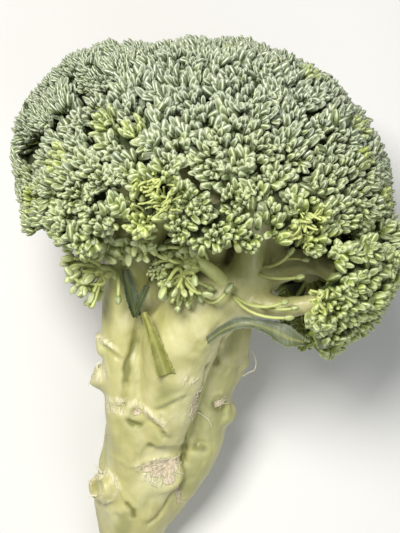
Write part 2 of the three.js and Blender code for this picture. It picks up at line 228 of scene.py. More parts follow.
class Finish(Graph):
    """A material whose Principled shader is filled in from terms."""

    def __init__(self, name):
        self.material = bpy.data.materials.new(name)
        self.material.use_nodes = True
        super().__init__(self.material.node_tree, "ShaderNode")
        self.shader = self.tree.nodes["Principled BSDF"]

    def attribute(self, name):
        return self.node("Attribute", {"attribute_name": name}, output="Fac")

    def position(self):
        return self.node("TexCoord", output="Object")

    def noise(self, scale, detail=3.0, stretch=(1, 1, 1), roughness=0.5):
        placed = self.node("Mapping", {}, {"Vector": self.position(), "Scale": stretch})
        inputs = {"Vector": placed, "Scale": scale, "Detail": detail, "Roughness": roughness}
        return self.node("TexNoise", {}, inputs)

    def mix(self, share, first, second):
        settings = {"data_type": "RGBA"}
        return self.node("Mix", settings, {0: share, 6: first, 7: second}, output=2)

    def bump(self, height, distance, strength=1.0):
        inputs = {"Height": height, "Distance": distance, "Strength": strength}
        return self.node("Bump", {}, inputs)

    def wear(self, **sockets):
        for name, value in sockets.items():
            self.connect(self.shader.inputs[name.replace("_", " ")], value)
        return self.material


def colour(red, green, blue):
    """A colour as a picture shows it, from 0 to 255, as the shader wants it."""
    parts = [part / 255 for part in (red, green, blue)]
    return (*(part / 12.92 if part <= 0.04045 else ((part + 0.055) / 1.055) ** 2.4 for part in parts), 1)


print("helpers ready")

# %% [markdown]
# ## The table top
#
# A single plane is enough, with a hint of cloudiness in its colour so that it doesn't look like paper.

# %% Make the table
TABLE_SIZE = 4.0
TABLE_DARK = colour(212, 210, 206)
TABLE_LIGHT = colour(221, 220, 217)

table_finish = Finish("table")
table_colour = table_finish.mix(table_finish.noise(3.0), TABLE_DARK, TABLE_LIGHT)
table_finish.wear(Base_Color=table_colour, Roughness=0.75)

table_mesh = bpy.data.meshes.new("table")
half = TABLE_SIZE / 2
table_corners = [(-half, -half, 0), (half, -half, 0), (half, half, 0), (-half, half, 0)]
table_mesh.from_pydata(table_corners, [], [(0, 1, 2, 3)])
table_mesh.materials.append(table_finish.material)
table = add_object("table", table_mesh)
print("table", TABLE_SIZE, "m wide")

# %% [markdown]
# ## Geometry Nodes as a stamp
#
# Two trees do most of the growing. One puts a bud on every point of a cloud, turned the way that the point
# says. The other turns lines into round stems of a given thickness. Each tree has named inputs and ends in
# Realize Instances and Set Material, and what it makes is turned into a plain mesh at once.

# %% Run a tree on a mesh
def new_tree(name, inputs):
    """An empty geometry tree with a geometry input and the given named inputs, and its graph."""
    tree = bpy.data.node_groups.new(name, "GeometryNodeTree")
    tree.interface.new_socket("Geometry", in_out="INPUT", socket_type="NodeSocketGeometry")
    tree.interface.new_socket("Geometry", in_out="OUTPUT", socket_type="NodeSocketGeometry")
    for socket_name, kind in inputs.items():
        tree.interface.new_socket(socket_name, in_out="INPUT", socket_type="NodeSocket" + kind)
    graph = Graph(tree, "GeometryNode")
    entry = tree.nodes.new("NodeGroupInput")
    given = {socket.name: Term(graph, socket) for socket in entry.outputs if socket.name}
    return graph, given


def finish_tree(graph, geometry, material):
    """Ends a tree with smooth, real geometry in the given material."""
    smooth = graph.node("SetShadeSmooth", {}, {"Geometry": geometry})
    real = graph.node("RealizeInstances", {}, {"Geometry": smooth})
    dressed = graph.node("SetMaterial", {}, {"Geometry": real, "Material": material})
    leave = graph.tree.nodes.new("NodeGroupOutput")
    graph.connect(leave.inputs["Geometry"], dressed)
    return graph.tree


def mesh_of(name, points, edges=(), faces=(), **attributes):
    """A mesh from points in millimetres, with a value or a vector per point for each attribute."""
    mesh = bpy.data.meshes.new(name)
    mesh.from_pydata(metres(points), list(edges), list(faces))
    for key, values in attributes.items():
        values = np.asarray(values, np.float32)
        kind = "FLOAT_VECTOR" if values.ndim == 2 else "FLOAT"
        layer = mesh.attributes.new(key, kind, "POINT")
        layer.data.foreach_set("vector" if values.ndim == 2 else "value", values.ravel())
    return mesh


def add_modifiers(holder, modifiers):
    """Further modifiers in their order, each given by its kind and its settings."""
    for kind, settings in modifiers:
        modifier = holder.modifiers.new(kind.lower(), kind)
        for key, value in settings.items():
            setattr(modifier, key, value)


def made_plain(holder):
    """The mesh that an object's modifiers make. The object itself is removed."""
    mesh = bpy.data.meshes.new_from_object(holder.evaluated_get(bpy.context.evaluated_depsgraph_get()))
    holder.modifiers.clear()
    bpy.data.objects.remove(holder)
    return mesh


def grow(mesh, tree, inputs, modifiers=()):
    """Runs a tree on a mesh, then any further modifiers, and gives back the result as a plain mesh."""
    holder = add_object("holder", mesh)
    modifier = holder.modifiers.new("grow", "NODES")
    modifier.node_group = tree
    for item in tree.interface.items_tree:
        if item.in_out == "INPUT" and item.name in inputs:
            modifier[item.identifier] = inputs[item.name]
    add_modifiers(holder, modifiers)
    return made_plain(holder)


print("tree helpers ready")

# %% [markdown]
# ## One bud
#
# A closed broccoli bud is a blunt, pointed drop, about 2.5 mm wide. Only its upper part shows between its
# neighbours, so it is drawn longer than that, to hide its foot. Four sepals wrap it: each has a raised pale
# rib, and between two of them runs a groove. Eight points around are enough to show that, because every
# second one lies on a rib. The bud is drawn once, 1 mm long and wide, and stretched when it is placed. The
# finest florets and the lower layer get a plainer one with fewer rings.

# %% Draw the bud
# Each ring of a bud: its height and its width, as shares of the bud's length and width
BUD_SIDES = 8
BUD_RINGS = [(0.0, 0.4), (0.16, 0.74), (0.42, 1.0), (0.68, 0.94), (0.88, 0.6)]
SMALL_BUD_RINGS = [(0.0, 0.5), (0.45, 1.0), (0.84, 0.66)]
BUD_BASE = 0.06
RIB_HEIGHT = 0.055
RIB_FADE = 0.3
RIB_STEP = 0.02
RIB_AT_BASE, RIB_AT_TIP = 0.5, 0.3


def make_bud(rings):
    """A closed four-ribbed drop that stands on the origin and points along Z."""
    points = [(0, 0, -BUD_BASE)]
    along = [0.0]
    ribs = [RIB_AT_BASE]
    for height, width in rings:
        for k in range(BUD_SIDES):
            rib = 1 if k % 2 == 0 else -1
            lift = RIB_HEIGHT * rib * (1 - RIB_FADE * height)
            radius = width / 2 * (1 + lift)
            angle = 2 * math.pi * k / BUD_SIDES
            step = RIB_STEP * rib * height
            points.append((radius * math.cos(angle), radius * math.sin(angle), height + step))
            along.append(height)
            ribs.append((rib + 1) / 2)
    points.append((0, 0, 1))
    along.append(1.0)
    ribs.append(RIB_AT_TIP)
    faces = []
    for k in range(BUD_SIDES):
        after = (k + 1) % BUD_SIDES
        faces.append((0, 1 + after, 1 + k))
        for ring in range(len(rings) - 1):
            low = 1 + ring * BUD_SIDES
            high = low + BUD_SIDES
            faces.append((low + k, low + after, high + after, high + k))
        last = 1 + (len(rings) - 1) * BUD_SIDES
        faces.append((last + k, last + after, len(points) - 1))
    mesh = mesh_of("bud", np.array(points) / MM - PLACE, faces=faces, along=along, rib=ribs)
    return bpy.data.objects.new("bud", mesh)


bud = make_bud(BUD_RINGS)
small_bud = make_bud(SMALL_BUD_RINGS)
print("faces of a bud:", len(bud.data.polygons), "and of a small one:", len(small_bud.data.polygons))

# %% [markdown]
# ## Finishes of the green parts
#
# A bud is yellow-green at its foot, which painted shade darkens between its neighbours, and grey blue-green
# at its waxy tip, its ribs are paler, and no two buds have quite the same colour. The buds that the light
# hasn't reached yet are lime green, and those of the lower layer are darkened by painted shade. Their stems
# are a pale yellow-green. The heart fills the inside of a floret with painted shade, a dark green.

# %% Mix the finishes of buds and stems
# Yellow-green, darkened by painted shade where the foot sits between other buds
BUD_FOOT_AND_SHADE = colour(66, 80, 30)
BUD_SIDE = colour(92, 106, 70)
BUD_RIB = colour(234, 239, 214)
BUD_TIP = colour(206, 214, 190)
LIME_FOOT = colour(132, 146, 36)
LIME_SIDE = colour(142, 156, 60)
LIME_RIB = colour(214, 222, 140)
LIME_TIP = colour(222, 228, 170)
BUD_SHADE = colour(60, 76, 40)
PALE_BUD = colour(206, 212, 156)
# Painted shade over the buds of the lower layer
BUD_UNDER_SHADE = colour(44, 56, 24)
GREEN_STEM_FOOT = colour(84, 96, 38)
GREEN_STEM_TIP = colour(120, 138, 56)
LIME_STEM_FOOT = colour(158, 162, 92)
LIME_STEM_TIP = colour(168, 178, 84)
PALE_STEM = colour(196, 202, 132)
# Painted shade inside the florets
HEART_SHADE_DARK = colour(26, 34, 10)
HEART_SHADE_LIGHT = colour(62, 76, 28)


def bud_finish(name, paler=0.0, darker=0.0):
    """Buds: the last two arguments are the shares of a pale yellow-green and of painted shade, a dark green,
    over everything.
    """
    finish = Finish(name)
    along = finish.attribute("along")
    rib = finish.attribute("rib")
    lime = finish.attribute("lime")
    tint = finish.attribute("tint")
    height = along.between(0.0, 0.5)
    # The foot's colour carries painted shade
    plain = finish.mix(height, BUD_FOOT_AND_SHADE, BUD_SIDE)
    fresh = finish.mix(height, LIME_FOOT, LIME_SIDE)
    side = finish.mix((1 - tint) * 0.5, finish.mix(lime, plain, fresh), BUD_SHADE)
    ridge = rib ** 3.0 * along.between(0.05, 0.5) * 0.9
    ribbed = finish.mix(ridge, side, finish.mix(lime, BUD_RIB, LIME_RIB))
    waxed = finish.mix(along.between(0.7, 1.0) * 0.45, ribbed, finish.mix(lime, BUD_TIP, LIME_TIP))
    cloud = finish.noise(900.0, 2.0)
    mottled = finish.mix(cloud.between(0.45, 0.8) * 0.2, waxed, BUD_TIP)
    pale = finish.mix(along.between(0.0, 0.3) * paler, mottled, PALE_BUD)
    # Painted shade: a share of dark green over everything, used for the lower layer
    whole = finish.mix(darker, pale, BUD_UNDER_SHADE)
    return finish.wear(Base_Color=whole, Roughness=0.5 - rib * 0.14)


def stem_finish(name, paler):
    """Stems, from grey green to lime green, and paler by a share."""
    finish = Finish(name)
    along = finish.attribute("along")
    lime = finish.attribute("lime")
    fresh = finish.mix(along, LIME_STEM_FOOT, LIME_STEM_TIP)
    plain = finish.mix(along, GREEN_STEM_FOOT, GREEN_STEM_TIP)
    cloud = finish.noise(420.0)
    skin = finish.mix(cloud * 0.4 + paler, finish.mix(lime, plain, fresh), PALE_STEM)
    return finish.wear(Base_Color=skin, Roughness=0.5)


def heart_finish():
    """Painted shade: a dark, cloudy green with a rough surface."""
    finish = Finish("inside of a floret")
    cloud = finish.noise(260.0, 4.0)
    skin = finish.mix(cloud, HEART_SHADE_DARK, HEART_SHADE_LIGHT)
    return finish.wear(Base_Color=skin, Roughness=0.8, Normal=finish.bump(cloud, 0.0012))


buds_look = bud_finish("crown buds")
# The lower layer is darkened by painted shade
shaded_low_buds_look = bud_finish("buds of the lower layer", darker=0.45)
pale_buds_look = bud_finish("side shoot buds", paler=0.4)
stems_look = stem_finish("bud stems", 0.0)
pale_stems_look = stem_finish("side shoot stems", 0.45)
branch_look = stem_finish("side shoot branches", 0.7)
heart_shade_look = heart_finish()
print("finishes:", buds_look.name, "/", stems_look.name, "/", heart_shade_look.name)

# %% [markdown]
# ## The two growing trees
#
# The bud tree puts the drawn bud on every point. The point says which way it leans and how big it is, and the
# tree draws a turn, a change of length and a tint for each bud from fixed seeds. The stem tree sweeps a small
# circle along lines.

# %% Build the bud tree and the stem tree
LENGTH_CHANGE = (0.88, 1.12)
LENGTH_SEED, TINT_SEED = 3, 11


def random_value(graph, low, high, seed):
    """A number between two others, drawn anew for each point."""
    inputs = {2: low, 3: high, "Seed": seed}
    return graph.node("FunctionNodeRandomValue", {"data_type": "FLOAT"}, inputs, output=1)


def named(graph, name, kind="FLOAT"):
    """An attribute that the points carry."""
    return graph.node("InputNamedAttribute", {"data_type": kind}, {"Name": name})


def build_bud_tree():
    inputs = {"Bud": "Object", "Width": "Float", "Length": "Float", "Seed": "Int", "Material": "Material"}
    graph, given = new_tree("buds on points", inputs)
    leaning = graph.node(
        "FunctionNodeAlignRotationToVector", {"axis": "Z"}, {"Vector": named(graph, "way", "FLOAT_VECTOR")}
    )
    spin = random_value(graph, 0.0, 2 * math.pi, given["Seed"])
    about = graph.node("FunctionNodeAxisAngleToRotation", {}, {"Axis": (0, 0, 1), "Angle": spin})
    turned = graph.node(
        "FunctionNodeRotateRotation", {"rotation_space": "LOCAL"}, {"Rotation": leaning, "Rotate By": about}
    )
    size = named(graph, "size")
    width = size * given["Width"]
    length = size * given["Length"] * random_value(graph, *LENGTH_CHANGE, LENGTH_SEED)
    scale = graph.node("ShaderNodeCombineXYZ", {}, {"X": width, "Y": width, "Z": length})
    shape = graph.node("ObjectInfo", {}, {"Object": given["Bud"]}, output="Geometry")
    inputs = {"Points": given["Geometry"], "Instance": shape, "Rotation": turned, "Scale": scale}
    placed = graph.node("InstanceOnPoints", {}, inputs)
    inputs = {"Geometry": placed, "Name": "tint", "Value": random_value(graph, 0.0, 1.0, TINT_SEED)}
    tinted = graph.node("StoreNamedAttribute", {"data_type": "FLOAT", "domain": "INSTANCE"}, inputs)
    return finish_tree(graph, tinted, given["Material"])


def build_stem_tree():
    graph, given = new_tree("stems on lines", {"Sides": "Int", "Material": "Material"})
    line = graph.node("MeshToCurve", {}, {"Mesh": given["Geometry"]})
    ring = graph.node("CurvePrimitiveCircle", {}, {"Resolution": given["Sides"], "Radius": 1.0})
    inputs = {"Curve": line, "Profile Curve": ring, "Scale": named(graph, "thick"), "Fill Caps": True}
    tube = graph.node("CurveToMesh", {}, inputs)
    return finish_tree(graph, tube, given["Material"])


bud_tree = build_bud_tree()
stem_tree = build_stem_tree()
print("trees:", bud_tree.name, len(bud_tree.nodes), "/", stem_tree.name, len(stem_tree.nodes))

# %% [markdown]
# ## How a head of broccoli is laid out
#
# Every floret is a rounded dome around its own direction from the middle of the head. Its surface breaks up
# into tufts about 11 mm apart, and each tuft into buds. The solid model has one bead for each tuft, placed on
# an even spiral over the ball and stirred a little by a seeded draw. The same spiral and the same draw here
# give tufts that sit exactly on those beads, so the fine head keeps the form of the plain one. On the front
# of the crown the domes close up, so the hollows between them are filled up to a floor, which is higher at
# the left.

# %% Dimensions of the crown
HEAD_CENTRE = np.array([9.0, 39.0, 67.0])
MEAN_REACH = 70.0
DOME_RADIUS = 44.0
TUFT_SPACING = 10.9
TUFT_STIR = 0.16
TUFT_RISE = 3.6
TUFT_UNEVENNESS = 0.9
FILL_SHARE = 1.7
FILL_EDGE, FILL_BACK = -0.16, 0.1
FILL_REACH, FILL_LEFT = 67.0, 12.0
GOLDEN_ANGLE = math.pi * (3 - math.sqrt(5))

# Each floret: direction from the head's centre, spread in degrees, reach, and the fork that its branch
# grows from
FLORETS = {
    "crown": ((0.06, 0.57, 0.82), 25, 70, "centre"),
    "upper_right": ((0.5, 0.4, 0.77), 24, 67, "centre"),
    "right": ((0.74, -0.03, 0.67), 24, 66.5, "right"),
    "low_right": ((0.76, -0.52, 0.42), 24, 76, "right"),
    "front": ((0.0, 0.15, 0.99), 23, 70, "centre"),
    "front_right": ((0.36, -0.08, 0.93), 20, 68, "right"),
    "front_low": ((-0.08, -0.17, 0.98), 17, 67, "centre"),
    "left_front": ((-0.38, 0.14, 0.91), 23, 73, "left"),
    "left_low": ((-0.79, 0.1, 0.6), 23, 77.5, "left"),
    "upper_left": ((-0.86, 0.47, 0.2), 31, 87.5, "left"),
    "tip": ((0.02, 0.97, 0.24), 26, 68.5, "centre"),
    "tip_left": ((-0.46, 0.88, -0.1), 24, 73.5, "centre"),
    "tip_right": ((0.62, 0.75, 0.2), 26, 64, "centre"),
    "side_right": ((0.97, 0.2, 0.1), 27, 67.5, "right"),
    "side_left": ((-0.88, 0.38, -0.35), 25, 80, "left"),
    "back_tip": ((0.05, 0.76, -0.65), 28, 69, "back"),
    "back_right": ((0.75, 0.42, -0.52), 26, 67, "back"),
    "rest_left": ((-0.42, 0.25, -0.87), 29, 72.4, "back"),
    "rest_right": ((0.42, 0.1, -0.9), 28, 71.2, "back"),
    "back_low": ((0.78, -0.42, -0.46), 25, 70, "back_right"),
}
AXES = unit([axis for axis, *_ in FLORETS.values()])
SPREADS = np.radians([spread for _, spread, *_ in FLORETS.values()])
REACHES = np.array([reach for _, _, reach, _ in FLORETS.values()], float)
print(len(FLORETS), "florets, reach", REACHES.min(), "to", REACHES.max(), "mm")

# %% [markdown]
# ## Tufts on a spiral
#
# A golden-angle spiral spreads any number of points evenly over a ball. The stirring has to repeat the solid
# model's own draw, so that small generator is written out here.

# %% Place the tufts
WORD = 0xFFFFFFFF


def seeded_draw(seed):
    """The solid model's own repeatable draw from 0 to 1."""
    state = seed
    while True:
        state = (state + 0x6D2B79F5) & WORD
        value = ((state ^ (state >> 15)) * (1 | state)) & WORD
        value = ((value + (((value ^ (value >> 7)) * (61 | value)) & WORD)) & WORD) ^ value
        yield ((value ^ (value >> 14)) & WORD) / (WORD + 1)


def spiral(spacing, stir, draw):
    """Even directions over the ball, that far apart at the mean reach. Draw gives random triples."""
    count = round(4 * math.pi * MEAN_REACH**2 / (spacing**2 * math.sqrt(3) / 2))
    index = np.arange(count)
    height = 1 - (2 * index + 1) / count
    radius = np.sqrt(1 - height**2)
    angle = index * GOLDEN_ANGLE
    even = np.stack([radius * np.cos(angle), height, radius * np.sin(angle)], 1)
    return unit(even + (draw(count) - 0.5) * 2 * stir * spacing / MEAN_REACH)


def is_filled(directions):
    """Where the front of the crown has a floor between its domes."""
    return (directions[..., 1] > FILL_EDGE) & (directions[..., 2] > FILL_BACK)


def dome_reach(floret, directions):
    """How far the rounded top of a floret, given by its number, lies from the head's centre."""
    centre_out = REACHES[floret] - DOME_RADIUS
    cosine = np.sum(directions * AXES[floret], -1)
    dome = centre_out * cosine + np.sqrt(np.maximum(DOME_RADIUS**2 - centre_out**2 * (1 - cosine**2), 0))
    floor = FILL_REACH - FILL_LEFT * np.minimum(directions[..., 0], 0)
    return np.maximum(dome, np.where(is_filled(directions), floor, 0))


def upright(floret, directions):
    """Which way buds stand on a floret: between its dome's own outward direction and the ball's."""
    foot = directions * (dome_reach(floret, directions) - TUFT_RISE)[..., None]
    middle = AXES[floret] * (REACHES[floret] - DOME_RADIUS)[..., None]
    return unit(unit(foot - middle) + directions)


tuft_draw = seeded_draw(7)


def tuft_triples(count):
    """Three numbers a tuft, in the order in which the solid model draws them."""
    return np.array([next(tuft_draw) for _ in range(count * 3)]).reshape(-1, 3)


tufts = spiral(TUFT_SPACING, TUFT_STIR, tuft_triples)
shares = np.arccos(np.clip(tufts @ AXES.T, -1, 1)) / SPREADS
between_florets = is_filled(tufts) & (shares.min(1) < FILL_SHARE)
tuft_owner = np.where((shares.min(1) < 1) | between_florets, shares.argmin(1), -1)
bump_draw = seeded_draw(11)
tuft_bump = np.array([next(bump_draw) * 2 - 1 for _ in tufts])
print(len(tufts), "tufts on the ball,", (tuft_owner >= 0).sum(), "of them on florets")

# %% [markdown]
# ## From tufts to buds
#
# Buds come from a finer spiral. Each belongs to the nearest tuft, stands highest in the tuft's middle, and
# fans out from the tuft's root about 8 mm below. It also leans away from the fork of the whole plant, and
# the same way as its neighbours. A second, lower layer fills the holes that leaning buds leave. Where the
# crown's edge is open, further buds lean out over the edge, as the outer flowers of an umbel do. Some
# florets have finer buds than others.

# %% Work out where the buds of a floret stand
BUD_SPACING = 2.9
FINER = {"upper_left": 1.7, "tip_left": 2.2, "side_left": 2.2, "left_low": 2.5, "tip": 2.6}
SMALL_BELOW = 2.1
BUD_STIR = 0.36
ROOT_DEPTH = 8.5
BUD_WIDTH = 0.9
BUD_LENGTH = 1.95
YOUNG_SIZE, OLD_SIZE = 0.70, 1.08
TUFT_FALL = 0.42
TUFT_LEAN = 0.24
PLANT_LEAN = 0.5
PLANT_FORK = (2.0, -25.0, 62.0)
GROUP_SIZE = 5.0
GROUP_LEAN = 0.95
GROUP_SEED = 6
HEIGHT_PLAY = 0.45
LEAN_PLAY = 0.13
TUFT_SIZES = (0.82, 1.2)
BUD_SIZES = (0.75, 1.2)
BUD_SINK = 0.15
FLORET_MARGIN = 0.3
EDGE_CANDIDATES = 62
EDGE_NEIGHBOURS = 1.55
EDGE_SIZE = 1.12
EDGE_SIZES = (0.8, 1.2)
EDGE_REACHES = (0.78, 1.08)
EDGE_COSINES = (0.93, 0.12)
EDGE_DRAW_IN = 0.42
EDGE_OUT = 0.30
UNDER_DEPTH = 2.7
UNDER_LEAN = 0.35
UNDER_SPACING = 1.08
ROOM_MARGIN = 0.95
ROOM_SHARES = (0.0, 0.55)
COVER_DEPTH = 1.0
# Where no buds stand, because a gap or a bare branch shows: direction and radius in radians
GAPS = {
    "left of the front": ((-0.33, -0.33, 0.89), 0.055),
    "right of the front": ((0.21, -0.27, 0.94), 0.06),
    "below the front": ((-0.16, -0.47, 0.87), 0.09),
    "below the front, left": ((-0.26, -0.43, 0.87), 0.07),
    "below the front, right": ((0.02, -0.45, 0.9), 0.07),
    "over the right branch": ((0.36, -0.42, 0.84), 0.09),
    "right of that": ((0.25, -0.39, 0.89), 0.07),
}


def tuft_root(tuft):
    """Where the stems of a tuft's buds part."""
    owner = tuft_owner[tuft]
    direction = tufts[tuft]
    return HEAD_CENTRE + direction * (dome_reach(owner, direction) - ROOT_DEPTH)[..., None]


def keep_in_room(tips, ways, widths, lengths):
    """Moves buds back where their tip or their thickest part would leave the head's room."""
    for share in ROOM_SHARES:
        middle = tips - ways * (lengths * share)[:, None]
        side = (widths / 2)[:, None] * np.sqrt(1 - ways**2) * (share > 0)
        over = np.maximum(middle + side - (ROOM_HIGH - ROOM_MARGIN), 0)
        under = np.maximum(ROOM_LOW + ROOM_MARGIN - (middle - side), 0)
        tips = tips - over + under
    return tips


def covered(points):
    """Whether points lie well under the buds of any floret."""
    offsets = points - HEAD_CENTRE
    directions = unit(offsets)
    nearest = (directions @ tufts.T).argmax(1)
    other = tuft_owner[nearest]
    top = dome_reach(np.maximum(other, 0), directions)
    depth = top - np.linalg.norm(offsets, axis=1)
    return (other >= 0) & (depth > TUFT_RISE + COVER_DEPTH)


def stands_clear(tips):
    """Whether buds are outside all gaps, by the place of their tips."""
    directions = unit(tips - HEAD_CENTRE)
    clear = np.ones(len(tips), bool)
    for spot, width in GAPS.values():
        clear &= directions @ unit(spot) < math.cos(width)
    return clear


# Blender draws the offsets of this noise from the clock, unless it gets a seed that isn't zero
noise.seed_set(GROUP_SEED)


def group_lean(tips):
    """A sideways push that neighbouring buds share, because they grow from one small twig."""
    return np.array([noise.noise_vector(Vector(tip)) for tip in tips / GROUP_SIZE]) * GROUP_LEAN


def buds_of(number, name, under=0):
    """Tips, ways, sizes and tufts of a floret's buds. Under is 1 for the lower layer, or else 0."""
    spacing = FINER.get(name, BUD_SPACING) * UNDER_SPACING**under
    rng = np.random.default_rng(100 + number + 1000 * under)
    lattice = spiral(spacing, BUD_STIR, lambda count: rng.random((count, 3)))
    near = lattice[lattice @ AXES[number] > math.cos(SPREADS[number] + FLORET_MARGIN)]
    closeness = near @ tufts.T
    order = np.argsort(-closeness, 1)[:, :2]
    first, second = np.arccos(np.clip(np.take_along_axis(closeness, order, 1), -1, 1)).T
    own = tuft_owner[order[:, 0]] == number
    near, tuft, outness = near[own], order[own, 0], (first / second)[own]
    floret = np.full(len(near), number)
    rise = (TUFT_RISE + tuft_bump[tuft] * TUFT_UNEVENNESS) * (1 - TUFT_FALL * outness**3)
    rise += rng.normal(0, HEIGHT_PLAY, len(near)) - BUD_SINK - UNDER_DEPTH * under
    foot = HEAD_CENTRE + near * (dome_reach(floret, near) - TUFT_RISE)[:, None]
    tips = foot + upright(floret, near) * rise[:, None]
    leaning = np.random.default_rng(9).normal(0, TUFT_LEAN, tufts.shape)[tuft]
    fan = unit(tips - tuft_root(tuft)) + PLANT_LEAN * unit(tips - PLANT_FORK)
    play = rng.normal(0, LEAN_PLAY + UNDER_LEAN * under, near.shape)
    ways = unit(fan + leaning + group_lean(tips) + play)
    age = YOUNG_SIZE + (OLD_SIZE - YOUNG_SIZE) * outness
    age = age * np.random.default_rng(13).uniform(*TUFT_SIZES, len(tufts))[tuft]
    scale = spacing * REACHES[number] / MEAN_REACH * age * rng.uniform(*BUD_SIZES, len(near))
    clear = stands_clear(tips)
    return tips[clear], ways[clear], scale[clear], tuft[clear]


def edge_buds_of(number, name):
    """The same for the buds that lean out over a floret's open edge."""
    spacing = FINER.get(name, BUD_SPACING) * REACHES[number] / MEAN_REACH
    rng = np.random.default_rng(300 + number)
    mine = np.flatnonzero(tuft_owner == number)
    closeness = tufts[mine] @ tufts.T
    found = []
    for row, tuft in zip(closeness, mine):
        around = np.flatnonzero(row > math.cos(EDGE_NEIGHBOURS * TUFT_SPACING / MEAN_REACH))
        strangers = around[tuft_owner[around] != number]
        if not len(strangers):
            continue
        root = tuft_root(np.array([tuft]))[0]
        outward = unit((tufts[strangers] - tufts[tuft]).mean(0))
        count = int(EDGE_CANDIDATES * (BUD_SPACING / spacing) ** 2)
        index = np.arange(count)
        cosine = EDGE_COSINES[0] - (EDGE_COSINES[0] - EDGE_COSINES[1]) * index / count
        reach = ROOT_DEPTH * (1 - EDGE_DRAW_IN * (1 - cosine))
        sine = np.sqrt(1 - cosine**2)
        side = unit(np.cross(tufts[tuft], outward))
        turn = index * GOLDEN_ANGLE + rng.random()
        ways = (
            tufts[tuft] * cosine[:, None]
            + outward * (sine * np.cos(turn))[:, None]
            + side * (sine * np.sin(turn))[:, None]
        )
        out = ways @ outward > EDGE_OUT
        ways = unit(ways[out] + rng.normal(0, LEAN_PLAY, (out.sum(), 3)))
        tips = root + ways * (reach[out] * rng.uniform(*EDGE_REACHES, len(ways)))[:, None]
        bare = ~covered(tips) & stands_clear(tips)
        size = spacing * EDGE_SIZE * rng.uniform(*EDGE_SIZES, bare.sum())
        found.append((tips[bare], ways[bare], size, np.full(bare.sum(), tuft)))
    return tuple(np.concatenate(parts) for parts in zip(*found))


sample = buds_of(0, "crown")
print("crown:", len(sample[0]), "buds and", len(edge_buds_of(0, "crown")[0]), "at its edge")

# %% [markdown]
# ## How fresh a bud is
#
# The crown's top is grey green. Towards the stalk, and in a few tufts all over, the buds are lime green. The
# share of lime is a number per bud that the finish reads. In three spots most buds are gone, and their bare
# stems curl.

# %% Lime green by place
LIME_START = 0.42
LIME_END = -0.45
LIME_BELOW, LIME_NEAR_CURLS, LIME_IN_TUFTS = 0.75, 0.8, 0.55
LIME_LUCK = 0.9
LIME_PLAY = 0.10
CURL_SHARE = 0.86
# Each spot: direction from the head's centre and radius in radians
CURL_SPOTS = {
    "right": ((0.43, -0.25, 0.87), 0.11),
    "left": ((-0.35, -0.12, 0.93), 0.11),
    "low right": ((0.37, -0.6, 0.71), 0.12),
}


def angle_from(directions, spot):
    """Angles between directions and a spot, in radians."""
    return np.arccos(np.clip(directions @ unit(spot), -1, 1))


def is_curled(tips, rng):
    """Which buds are missing in the curl spots, so that their bare stems curl."""
    directions = unit(tips - HEAD_CENTRE)
    curled = np.zeros(len(tips), bool)
    for spot, width in CURL_SPOTS.values():
        curled |= (angle_from(directions, spot) < width) & (rng.random(len(tips)) < CURL_SHARE)
    return curled


def lime_share(tips, tuft, rng):
    """From 0, grey green, to 1, lime green, for each bud."""
    directions = unit(tips - HEAD_CENTRE)
    share = np.clip((LIME_START - directions[:, 1]) / (LIME_START - LIME_END), 0, 1) * LIME_BELOW
    for spot, width in CURL_SPOTS.values():
        share += LIME_NEAR_CURLS * np.exp(-((angle_from(directions, spot) / width) ** 2))
    tuft_luck = np.random.default_rng(5).random(len(tufts))
    share += LIME_IN_TUFTS * (tuft_luck[tuft] > LIME_LUCK) + rng.normal(0, LIME_PLAY, len(tips))
    return np.clip(share, 0, 1)


print("curls at", list(CURL_SPOTS))

# %% [markdown]
# ## Stems
#
# A branch of the stalk enters each floret from below. From its end a twig runs to every tuft, and from there
# a thin stem to every bud of the upper layer. They are arcs with one bend, laid out as lines for the stem
# tree.

# %% Lay out stems as lines
STEM_POINTS = 5
TWIG_RADIUS = 1.05
BUD_STEM_RADIUS = 0.19
THROAT_DEPTH = 22.0


class Lines:
    """A growing set of lines with a thickness, a place along the stem and a lime share for every point."""

    def __init__(self):
        self.points, self.edges, self.thick, self.along, self.lime = [], [], [], [], []
        self.count = 0

    def add(self, start, bend, end, thick_start, thick_end, lime, points=STEM_POINTS, along=(0.0, 1.0)):
        """Adds one arc for each row of start, bend and end."""
        start, bend, end = (np.atleast_2d(p) for p in (start, bend, end))
        share = np.linspace(0, 1, points)[None, :, None]
        leave = (1 - share) ** 2 * start[:, None]
        turn = 2 * share * (1 - share) * bend[:, None]
        arcs = leave + turn + share**2 * end[:, None]
        number = len(arcs)
        index = self.count + np.arange(number * points).reshape(number, points)
        self.points.append(arcs.reshape(-1, 3))
        self.edges.append(np.stack([index[:, :-1].ravel(), index[:, 1:].ravel()], 1))
        thick_start, thick_end, lime = (np.broadcast_to(v, (number,)) for v in (thick_start, thick_end, lime))
        flat = share[0, :, 0][None]
        self.thick.append((thick_start[:, None] * (1 - flat) + thick_end[:, None] * flat).ravel())
        self.along.append((np.zeros((number, 1)) + along[0] + (along[1] - along[0]) * flat).ravel())
        self.lime.append(np.repeat(lime, points))
        self.count += number * points

    def mesh(self, sides, material):
        """All lines as round stems."""
        points, edges, thick, along, lime = (
            np.concatenate(v) for v in (self.points, self.edges, self.thick, self.along, self.lime)
        )
        plain = mesh_of("lines", points, edges.tolist(), thick=thick * MM, along=along, lime=lime)
        return grow(plain, stem_tree, {"Sides": sides, "Material": material})


def bud_mesh(tips, ways, scale, lime, seed, width=BUD_WIDTH, length=BUD_LENGTH, shape=None, look=buds_look):
    """Buds on their points, from the place of each tip."""
    feet = tips - ways * (scale * length)[:, None]
    cloud = mesh_of("cloud", feet, way=ways, size=scale * MM, lime=lime)
    inputs = {"Bud": shape or bud, "Width": width, "Length": length, "Seed": seed, "Material": look}
    return grow(cloud, bud_tree, inputs)


print("stem layout ready")
